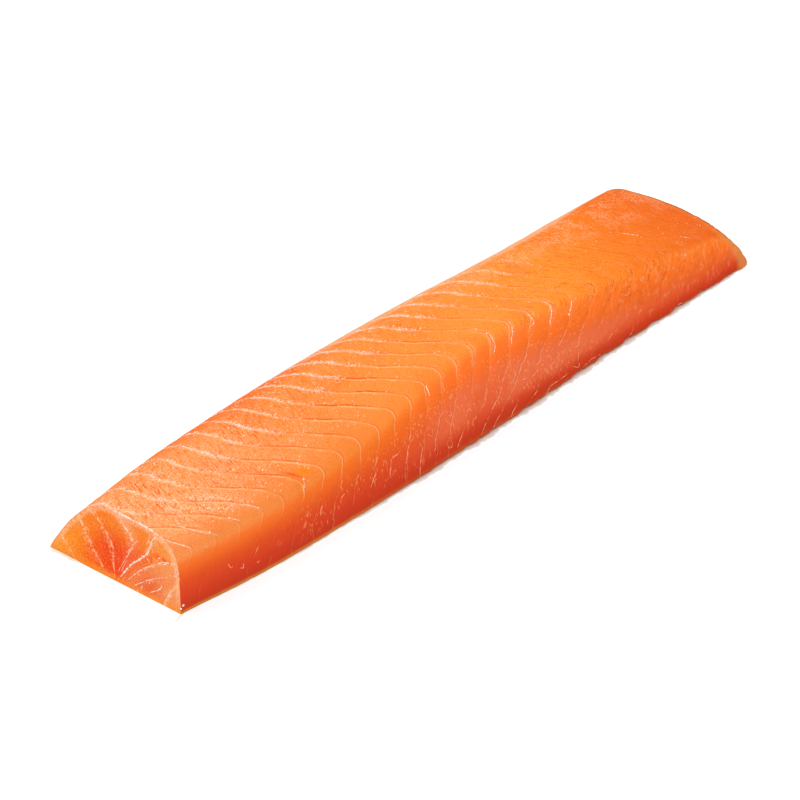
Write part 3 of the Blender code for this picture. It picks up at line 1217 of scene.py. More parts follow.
@dataclass(frozen=True)
class Markings:
    """Where the threads lie.

    Wisps, hairs and glints are runs of (X on the rim, run from the rim) in millimetres. Lines on
    the cuts have a thickness, and shares of the cut's width and height.
    """

    spacing: float = 0.4
    cut_spacing: float = 0.008
    ridge_tip: float = 0.2
    cut_tip: float = 0.5
    rim_tip: float = 0.4
    ridge_from: float = -0.135
    ridge_to: float = 0.075
    ridge_reach: tuple[float, float] = (0.0250, 0.0540)
    wisps: tuple[Knots, ...] = (
        ((-11.9, -13.0), (-13.1, -13.8), (-13.4, -15.5), (-13.7, -16.6), (-14.1, -17.9),
         (-14.5, -19.8), (-14.4, -22.0), (-14.2, -23.7)),
        ((-13.7, -24.5), (-15.2, -25.0), (-15.4, -26.3), (-12.3, -28.8), (-10.4, -28.0),
         (-12.7, -25.6)),
        ((-16.9, -15.4), (-15.5, -16.5), (-16.3, -16.9), (-17.9, -16.3)),
        ((-22.7, -13.8), (-23.9, -14.8), (-24.7, -16.4), (-24.5, -18.0), (-25.1, -19.5),
         (-25.6, -21.0), (-24.5, -23.3), (-25.8, -24.3)),
        ((-28.9, -15.6), (-28.3, -17.3), (-28.3, -18.3), (-31.6, -16.2)),
        ((-40.9, -12.6), (-41.5, -13.4), (-42.9, -14.1), (-43.7, -14.9), (-43.9, -16.7),
         (-43.8, -18.9), (-44.0, -20.6), (-44.2, -23.8), (-43.3, -26.6)),
        ((-42.5, -11.2), (-43.5, -12.1), (-43.3, -13.2)),
        ((-48.7, -12.8), (-49.8, -13.6), (-52.2, -13.3), (-53.7, -13.4), (-53.9, -14.6),
         (-53.7, -17.0), (-53.1, -20.1)),
        ((-62.1, -12.6), (-62.2, -14.2), (-63.3, -15.4), (-63.9, -17.2)),
        ((-83.3, -5.0), (-82.5, -7.2), (-82.3, -9.2)),
        ((-22.4, -4.8), (-22.0, -6.6), (-21.2, -7.8), (-22.0, -8.5)),
        ((-133.6, -10.5), (-131.6, -12.5), (-130.8, -12.1)),
        ((-127.1, -14.4), (-125.7, -14.9), (-126.1, -13.3)),
        ((70.6, -10.2), (70.1, -11.6), (70.2, -13.0), (72.2, -14.7), (73.4, -16.0), (70.8, -16.0)),
        ((80.4, -19.5), (85.5, -21.4), (87.3, -22.5), (80.7, -21.3)),
        ((58.5, -10.4), (57.9, -12.3), (57.1, -13.5), (56.8, -14.4)),
        ((60.9, -16.1), (60.9, -17.0), (63.2, -17.6)),
        ((45.4, -11.6), (45.1, -13.1), (44.8, -14.3), (46.9, -16.1), (44.6, -16.8)),
        ((48.0, -17.9), (47.4, -19.0), (46.1, -19.5)),
        ((38.7, -10.9), (34.9, -10.8), (33.4, -11.3), (33.9, -13.0), (33.7, -14.6), (32.2, -15.0),
         (32.9, -16.5), (33.0, -18.4), (33.9, -20.3), (32.7, -21.7), (32.5, -23.0), (32.2, -23.6)),
        ((41.7, -18.6), (41.1, -19.3), (38.1, -19.3)),
        ((28.7, -15.9), (30.0, -17.2), (29.5, -18.5), (27.5, -18.9)),
        ((23.1, -12.0), (22.1, -14.0), (21.4, -15.8), (20.9, -17.6), (22.0, -20.0), (22.3, -21.9),
         (20.8, -22.8), (20.9, -24.2), (18.1, -23.2)),
        ((8.3, -15.9), (9.9, -17.5), (10.2, -19.5), (10.3, -21.5), (10.1, -22.3)),
        ((84.8, -11.8), (84.3, -12.9), (84.2, -13.8)),
        ((79.5, -22.5), (75.7, -23.3), (71.5, -24.4), (71.7, -25.9), (72.0, -26.7)),
        ((90.0, -7.0), (95.7, -8.1), (95.9, -6.5)),
    )
    hairs: tuple[Knots, ...] = (
        ((-34.1, -14.7), (-33.8, -16.5), (-34.0, -18.4), (-34.7, -21.0), (-34.8, -23.5),
         (-34.9, -26.7), (-34.6, -29.6)),
        ((-63.5, -7.7), (-62.9, -9.1), (-63.2, -10.5), (-64.7, -11.0)),
        ((-72.4, -7.4), (-72.8, -8.9), (-73.1, -10.2), (-72.9, -12.2)),
        ((-71.5, -13.5), (-72.0, -14.8)),
        ((-79.1, -12.0), (-80.5, -12.6), (-81.4, -13.8)),
        ((-2.1, -18.8), (-2.9, -21.1), (-3.3, -23.9)),
        ((-2.4, -26.4), (-4.5, -29.0), (-5.4, -31.8)),
        ((-90.5, -11.1), (-91.2, -12.3), (-90.5, -14.0)),
        ((-120.8, -10.1), (-121.2, -11.6), (-121.6, -13.1)),
        ((-120.3, -14.9), (-119.2, -16.1), (-118.7, -15.5)),
        ((-98.3, -8.9), (-98.5, -10.0), (-99.6, -10.1)),
        ((-93.0, -7.7), (-91.1, -10.4), (-91.2, -11.6)),
        ((20.4, -25.9), (19.8, -28.2), (19.9, -30.3), (20.4, -31.3)),
        ((33.2, -25.7), (32.3, -27.9), (33.4, -29.9), (33.3, -30.8)),
        ((46.9, -26.0), (46.5, -27.5), (47.5, -29.0)),
        ((59.6, -23.8), (58.9, -25.4), (60.5, -27.5)),
        ((59.5, -17.5), (58.5, -18.8), (57.8, -19.7)),
        ((101.7, -16.5), (99.1, -17.1), (99.0, -18.4)),
        ((116.1, -18.1), (117.7, -19.5), (118.4, -20.8)),
        ((100.8, -21.6), (96.6, -21.8), (92.7, -22.4), (91.7, -23.7)),
        ((157.8, -15.8), (153.0, -16.5), (152.6, -17.3), (145.8, -17.1), (138.8, -17.7)),
    )
    glints: tuple[Knots, ...] = (
        ((45.3, 1.6), (44.8, -0.4), (45.0, -2.3), (45.5, -4.5), (44.9, -6.0), (46.2, -7.3)),
        ((57.3, -2.3), (57.2, -4.4), (56.8, -5.8), (57.9, -7.2)),
        ((31.8, -0.2), (33.2, -1.6), (34.3, -3.3), (34.8, -4.5), (33.3, -5.1)),
        ((22.0, 0.1), (22.1, -2.5), (22.1, -4.7), (21.7, -6.6), (22.4, -8.3)),
        ((9.6, -0.2), (10.5, -3.4), (11.6, -5.5), (11.1, -7.7)),
        ((-32.0, -1.1), (-32.2, -2.4), (-31.5, -4.2), (-31.0, -5.5)),
        ((131.9, 18.2), (132.5, 16.1), (132.9, 13.9)),
        ((139.4, 5.0), (140.5, 2.7)),
        ((130.1, -2.9), (133.2, -3.7)),
        ((-151.5, 9.6), (-154.1, 5.1), (-154.4, 2.7), (-153.2, 0.3)),
        ((-142.3, 10.0), (-144.5, 5.8), (-144.7, 3.1), (-142.4, 0.5)),
        ((-133.3, 4.6), (-133.1, 3.0), (-132.2, 1.4)),
        ((-123.7, 5.8), (-123.5, 3.6), (-123.0, 1.1), (-123.2, 0.5)),
        ((-102.1, 1.3), (-103.3, -0.7), (-103.8, -1.8)),
    )
    faint_cut_lines: CutLines = (
        (0.8, ((0.875, 0.230), (0.847, 0.141), (0.799, 0.012))),
        (0.9, ((0.736, 0.626), (0.708, 0.556), (0.688, 0.459), (0.661, 0.344), (0.606, 0.181))),
        (1.0, ((0.643, 0.822), (0.600, 0.763), (0.556, 0.693), (0.523, 0.585), (0.497, 0.496),
               (0.500, 0.170))),
    )
    rim_lines: tuple[Triple, ...] = (
        (1.5, 0.0310, 0.0090), (0.6, 0.0088, -0.0080))
    cut_lines: CutLines = (
        (1.1, ((0.429, 0.933), (0.394, 0.841), (0.352, 0.756), (0.347, 0.693))),
        (0.6, ((0.292, 0.756), (0.341, 0.641), (0.384, 0.463), (0.470, 0.141))),
        (1.9, ((0.163, 0.919), (0.194, 0.833), (0.213, 0.719), (0.238, 0.615), (0.302, 0.470),
               (0.365, 0.341), (0.450, 0.093))),
        (1.1, ((0.040, 0.656), (0.113, 0.615), (0.166, 0.541), (0.229, 0.448), (0.291, 0.341),
               (0.397, 0.100))),
        (1.0, ((0.135, 0.385), (0.234, 0.256), (0.344, 0.078))),
        (1.0, ((0.159, 0.315), (0.138, 0.263), (0.163, 0.185), (0.224, 0.096))),
        (1.0, ((0.065, 0.267), (0.113, 0.093))),
        (1.0, ((0.135, 0.665), (0.152, 0.627), (0.165, 0.584))),
        (0.9, ((0.079, 0.645), (0.101, 0.608), (0.121, 0.571))),
        (0.9, ((0.238, 0.558), (0.228, 0.538), (0.219, 0.519))),
        (0.8, ((0.205, 0.891), (0.215, 0.827), (0.233, 0.755))),
    )

    def on_flesh(self, body: FleshBody, runs: tuple[Knots, ...]) -> list[Line]:
        """Lines on the outside of the flesh, through the knots of each."""
        paths = [smoothed(knots, self.spacing) * MM for knots in runs]
        return [(body.points_at(path[:, 0], path[:, 1]), tapered(len(path))) for path in paths]

    def ridges(self, body: FleshBody) -> list[Line]:
        """Lines along the seams where they near the thin edge.

        Args:
            body: The flesh.

        Returns:
            The points and the thickness of each line.
        """
        places = body.surface.form.seam_places()
        run = np.arange(*self.ridge_reach, self.spacing * MM)
        lines = []
        for place, phases in zip(places, body.wanders(len(places))):
            if self.ridge_from < place < self.ridge_to:
                points = body.points_at(np.full_like(run, place), run)
                points[:, 0] += body.stray(phases, run)
                lines.append((points, tapered(len(run), self.ridge_tip)))
        return lines

    def over_cuts(self, body: FleshBody, drawn: CutLines) -> list[Line]:
        """Lines over both cuts, through the knots of each."""
        paths = [(thick, smoothed(knots, self.cut_spacing)) for thick, knots in drawn]
        return [(body.cut_points(end, path), thick * tapered(len(path), self.cut_tip))
                for end in End for thick, path in paths]

    def round_rim(self, body: FleshBody, end: End) -> list[Line]:
        """Lines on the rim of a cut, where the skin turns over its edge.

        Args:
            body: The flesh.
            end: Which cut.

        Returns:
            The points and the thickness of each line.
        """
        lines = []
        for thick, first, last in self.rim_lines:
            run = np.linspace(first, last, int(abs(first - last) / (self.spacing * MM)) + 2)
            lines.append((body.rim_points(end, run), thick * tapered(len(run), self.rim_tip)))
        return lines


@dataclass
class BrineBeads:
    """Tiny beads of brine and fat that glint along the seams and over the flesh."""

    radius: float = 0.00021
    along_seams: float = 4.4e6
    on_cuts: float = 1.6e6
    scattered: float = 2.4e5
    scuff_gain: float = 6.0
    patch_size: float = 130.0
    seed: int = 5
    least: Triple = (0.5, 0.5, 0.4)
    greatest: Triple = (1.6, 1.3, 1.0)
    patches: Steps = (("noise", 0.45, 0.62),)
    seam_band: Steps = (
        ("edge", 0.20, 0.33), ("edge", 0.72, 0.60), ("apart", 0.14, 0.02),
        ("patch", 0.0, 1.0, 0.25, 1.0), ("x", 0.075, 0.0), ("skin",))
    loose: Steps = (
        ("run", 0.5, 9.0, 0.10, 1.0), ("foot", 0.10, 0.02), ("x", 0.02, -0.03, 0.12, 1.0),
        ("patch",), ("skin",))
    cut_lines: Steps = (
        ("within", 0.06, 0.01), ("lip", 0.3, 0.5), ("lip", 0.97, 0.93), ("patch",), ("cut",))

    def density(self, w: PieceTree) -> NodeSocket:
        """How many beads lie on each square metre.

        Args:
            w: The tree.

        Returns:
            The socket with the density.
        """
        given = w.given
        reads = w.stored("seam", "edge", "foot", "run", "cut", "below", "scuff", "fan", "lip")
        reads["x"], *_ = w.parted(w.place)
        reads["skin"] = w.product(w.inverse(reads["cut"]), w.inverse(reads["below"]))
        reads["apart"], reads["within"] = w.apart(reads["seam"]), w.apart(reads["fan"])
        reads["noise"] = w.speckle(w.place, given["Patch Size"])
        reads["patch"] = w.mask(reads, self.patches)
        loose = w.product(w.mask(reads, self.loose), given["Scattered"])
        scuffed = w.product(reads["scuff"], reads["patch"], given["Scattered"], given["Scuff Gain"])
        return w.total(w.product(w.mask(reads, self.seam_band), given["Along Seams"]),
                       w.total(loose, scuffed),
                       w.product(w.mask(reads, self.cut_lines), given["On Cuts"]))

    def build(self, flesh: Object, material: Material) -> Object:
        """The finished beads, scattered by the numbers stored on the flesh.

        Args:
            flesh: The piece that they lie on.
            material: Their finish.

        Returns:
            The piece.
        """
        w = PieceTree("brine_beads", titled(self))
        given = w.given
        points = w.add("GeometryNodeDistributePointsOnFaces", {
            "Mesh": given["Base"], "Density": self.density(w), "Seed": given["Seed"]},
            distribute_method="RANDOM").outputs
        scale = w.add("FunctionNodeRandomValue", {0: self.least, 1: self.greatest,
                                                  "Seed": given["Seed"]},
                      data_type="FLOAT_VECTOR").outputs[0]
        beads = w.balls(given["Radius"], 1, {
            "Points": points["Points"], "Rotation": points["Rotation"], "Scale": scale})
        w.dress(beads, material)
        return w.grow(linked("beads", flesh.data.copy()))


@dataclass(frozen=True)
class Drops:
    """The larger drops of brine, as (X on the rim, run from the rim, radius) in millimetres."""

    places: tuple[Triple, ...] = (
        (-150.0, -17.4, 0.42), (-150.8, -18.4, 0.34), (-40.8, 22.4, 0.30), (-21.4, 23.3, 0.28),
        (-32.2, 33.1, 0.30), (-63.4, 15.0, 0.28), (-94.0, 6.8, 0.24), (-73.4, 38.9, 0.28),
        (-11.4, 23.5, 0.30), (-31.8, 31.1, 0.28), (10.9, 17.8, 0.24), (9.4, 0.3, 0.30),
        (-51.3, 17.4, 0.28), (-72.8, 33.5, 0.26), (69.6, 24.3, 0.26), (45.9, 24.3, 0.24),
        (51.8, 32.7, 0.24), (11.1, 26.0, 0.30), (33.1, -1.2, 0.26), (56.6, -6.4, 0.24),
        (10.5, 4.2, 0.26), (-61.6, 27.1, 0.28), (-143.4, 2.5, 0.30), (-128.4, 10.6, 0.24),
        (-78.4, 28.2, 0.28), (-78.9, 14.4, 0.24), (-82.1, 9.7, 0.22), (-100.1, 11.7, 0.24),
        (-100.8, 18.4, 0.24), (-128.0, 8.5, 0.22), (-126.2, 12.5, 0.26), (-122.6, 15.4, 0.24),
        (-101.6, 1.5, 0.34), (-133.1, 3.8, 0.26))
    flatness: float = 0.6

    def build(self, body: FleshBody, flesh: Object, material: Material) -> Object:
        """The finished drops, one set on the flesh at each place.

        Args:
            body: The flesh's form.
            flesh: The piece that they lie on.
            material: Their finish.

        Returns:
            The piece.
        """
        w = PieceTree("drops", titled(self))
        on, out = w.nearest(flesh)
        laid = w.add("GeometryNodeSetPosition", {"Geometry": w.given["Base"], "Position": on})
        turned = w.add("FunctionNodeAlignRotationToVector", {"Vector": out}, axis="Z").outputs[0]
        wide = w.stored("thick")["thick"]
        drops = w.balls(1.0, 2, {
            "Points": laid.outputs[0], "Rotation": turned,
            "Scale": w.joined(wide, wide, w.product(wide, w.given["Flatness"]))})
        w.dress(drops, material)
        table = np.array(self.places) * MM
        mesh = bpy.data.meshes.new("drop_places")
        mesh.from_pydata(body.points_at(table[:, 0], table[:, 1]).tolist(), [], [])
        store(mesh, "thick", table[:, 2])
        return w.grow(linked("drop_places", mesh))


@dataclass(frozen=True)
class SkinFilmAndShadow:
    """A ragged strip of silver skin under the edge of the flesh, as thin as paper.

    The strip runs along the foot of the wall and along the foot of the head cut, and stands out
    from under the flesh by a width that wanders. At the near corner it ends in a spike. Along
    the wall its grey is partly real skin and partly painted contact shadow under the foot.
    """

    thickness: float = 0.00022
    lip_share: float = 0.4
    tuck: float = 0.0015
    step: float = 0.0004
    wall_from: float = -0.152
    wall_to: float = 0.1608
    wall_width: tuple[float, float] = (0.0009, 0.0024)
    wall_grow: tuple[float, float] = (-0.090, -0.035)
    head_share: float = 0.42
    cut_fading: float = 0.25
    cut_from: float = 0.0450
    cut_to: float = 0.0588
    cut_width: tuple[float, float] = (0.0009, 0.0019)
    spike_reach: Triple = (-0.0054, -0.0018, 0.0)
    spike_width: float = 0.0005
    spike_shares: tuple[float, float, int] = (-0.2, 1.0, 14)
    spike_blunt: float = 1.02
    ripples: tuple[tuple[float, float], ...] = (
        (0.031, 1.0), (0.0097, 1.3), (0.0041, 2.0), (0.0017, 3.5))
    closing: float = 0.35
    seed: int = 21

    def ragged(self, count: int, bounds: tuple[float, float],
               draw: np.random.Generator) -> np.ndarray:
        """A width that wanders between two bounds and closes at both ends.

        Args:
            count: How many places along the strip.
            bounds: The least and the greatest width.
            draw: Where chance comes from.

        Returns:
            The width at each place.
        """
        along = np.arange(count) * self.step
        rippled = sum(np.sin(2 * np.pi * along / length + draw.uniform(0, 2 * np.pi)) / weight
                      for length, weight in self.ripples)
        closing = np.sin(np.pi * np.arange(count) / (count - 1)) ** self.closing
        least, most = bounds
        return (least + (most - least) * blend(rippled, 0.0, 1.0)) * closing

    def strip(self, foot: np.ndarray, outward: np.ndarray, width: np.ndarray,
              tuck: np.ndarray) -> tuple[np.ndarray, np.ndarray]:
        """One closed strip along a line on the floor.

        Args:
            foot: The line, one point per row.
            outward: The way out from under the flesh.
            width: How far the strip stands out.
            tuck: How far it reaches in under the flesh.

        Returns:
            The strip's points and faces.
        """
        outer = foot + outward * width[:, None]
        inner = foot - outward * tuck[:, None]
        rise = np.array([0.0, 0.0, self.thickness])
        points = np.stack([inner, outer, outer + rise * self.lip_share, foot + rise, inner + rise],
                          axis=1)
        return points.reshape(-1, 3), tube_faces(*points.shape[:2])

    def strips(self, body: FleshBody) -> list[tuple[np.ndarray, ...]]:
        """The strips along the wall and the head cut, and the spike at their corner.

        Args:
            body: The flesh.

        Returns:
            Each strip's line, way out, width and tuck, and how pale its lip is.
        """
        draw = np.random.default_rng(self.seed)
        surface, shift = body.surface, np.array([*body.shift[:2], 0.0])
        head = -surface.form.length / 2
        x = np.arange(self.wall_from, self.wall_to, self.step)
        along_wall = np.stack([x, surface.along(surface.y[:, 0], x), 0 * x], axis=1) + shift
        y = np.arange(self.cut_from, self.cut_to, self.step)
        along_cut = np.stack([0 * y + head, y, 0 * y], axis=1) + shift
        growing = np.interp(x, self.wall_grow, (self.head_share, 1.0))
        found = []
        for line, way, bounds, share, fading in (
                (along_wall, (0.0, -1.0, 0.0), self.wall_width, growing, 1.0),
                (along_cut, (-1.0, 0.0, 0.0), self.cut_width, 1.0, self.cut_fading)):
            width = self.ragged(len(line), bounds, draw) * share
            found.append((line, np.array(way), width, np.full_like(width, self.tuck), fading))
        share = np.linspace(*self.spike_shares)
        reach = np.array(self.spike_reach)
        spike = np.array([head, surface.y[0, 0], 0.0]) + shift + reach * share[:, None]
        slim = self.spike_width * (self.spike_blunt - np.maximum(share, 0.0))
        aside = np.array([reach[1], -reach[0], 0.0]) / np.linalg.norm(reach)
        return [*found, (spike, aside, slim, slim, 0.0)]

    def build(self, body: FleshBody, material: Material) -> Object:
        """The finished strips.

        Args:
            body: The flesh.
            material: Their finish.

        Returns:
            The piece.
        """
        mesh = bmesh.new()
        fades = []
        for *shape, fading in self.strips(body):
            points, faces = self.strip(*shape)
            fades.append(np.tile((0.0, fading, fading, 0.0, 0.0), len(shape[0])))
            verts = [mesh.verts.new(point) for point in points]
            for face in faces:
                mesh.faces.new([verts[i] for i in face])
        bmesh.ops.holes_fill(mesh, edges=mesh.edges)
        bmesh.ops.recalc_face_normals(mesh, faces=mesh.faces)
        data = bpy.data.meshes.new("skin_film")
        mesh.to_mesh(data)
        mesh.free()
        store(data, "out", np.concatenate(fades))
        data.materials.append(material)
        return linked("skin_film", data)


@dataclass(frozen=True)
class ThreadFinish:
    """Pale connective tissue, or a bead of brine, with a wet gloss."""

    name: str
    colour: Colour
    roughness: float = 0.30
    shine: float = 0.5
    glow: float = 0.3
    glow_reach: Triple = (1.0, 0.4, 0.2)
    glow_depth: float = 0.0006

    def material(self) -> Material:
        """Builds the finish."""
        material, w = new_finish(self.name)
        w.surface({"Base Color": (*self.colour, 1.0), "Roughness": self.roughness,
                   "Specular IOR Level": self.shine, "Subsurface Weight": self.glow,
                   "Subsurface Radius": self.glow_reach, "Subsurface Scale": self.glow_depth})
        return material


@dataclass(frozen=True)
class FilmAndShadowFinish:
    """Silver skin, which pales where it thins out; along the wall's foot its grey root is painted
    contact shadow.
    """

    # The grey root, which along the wall's foot paints the contact shadow; the lip is its paler,
    # thinning edge.
    root: Colour = seen(226, 224, 213)
    lip: Colour = seen(250, 250, 248)
    paling: tuple[float, float] = (0.10, 0.95)
    roughness: float = 0.35
    shine: float = 0.4

    def material(self) -> Material:
        """Builds the finish.

        Returns:
            The material.
        """
        material, w = new_finish("silver_skin")
        colour = w.mixed(w.ramp(w.named("out"), *self.paling), self.root, self.lip)
        w.surface({"Base Color": colour, "Roughness": self.roughness,
                   "Specular IOR Level": self.shine})
        return material


class Tint(Enum):
    """The colours that are laid over the flesh."""

    THIN_EDGE = seen(232, 104, 22)
    # Painted glow of light through the thin bottom of the cuts.
    AMBER = seen(240, 140, 50)
    TIP_AMBER = seen(222, 138, 72)
    TIP_BROWN = seen(196, 92, 30)
    WALL_RED = seen(204, 60, 34)
    DOT_RED = seen(212, 70, 18)
    CUT_DARK = seen(216, 66, 12)
    BURNT = seen(244, 92, 8)
    FOOT_AMBER = seen(206, 124, 56)
    # Pale specks and fibres, and also the painted wet sheen, gloss and glints.
    SHEEN = seen(252, 188, 146)
    SALMON = seen(234, 112, 72)
    # Pale septum tissue; along the seams' near lips it also paints a highlight.
    SEPTUM = seen(250, 176, 112)
    TURN_LINE = seen(226, 96, 44)
    CREVICE = seen(230, 88, 18)
    SEAM_DARK = seen(222, 78, 12)
    SLIT = seen(236, 76, 0)
    BLOT = seen(250, 130, 2)
    RIM_PALE = seen(252, 190, 146)
    UNDERSIDE = seen(206, 150, 118)


@dataclass(frozen=True)
class Wash:
    """A colour laid over the flesh, as strong as the product of its steps and its share."""

    tint: Tint
    steps: Steps
    share: float = 1.0


@dataclass(frozen=True)
class Mask:
    """A reading made from others: its steps, as they come together, times its share."""

    name: str
    steps: Steps
    share: float = 1.0
    join: Join = Join.PRODUCT


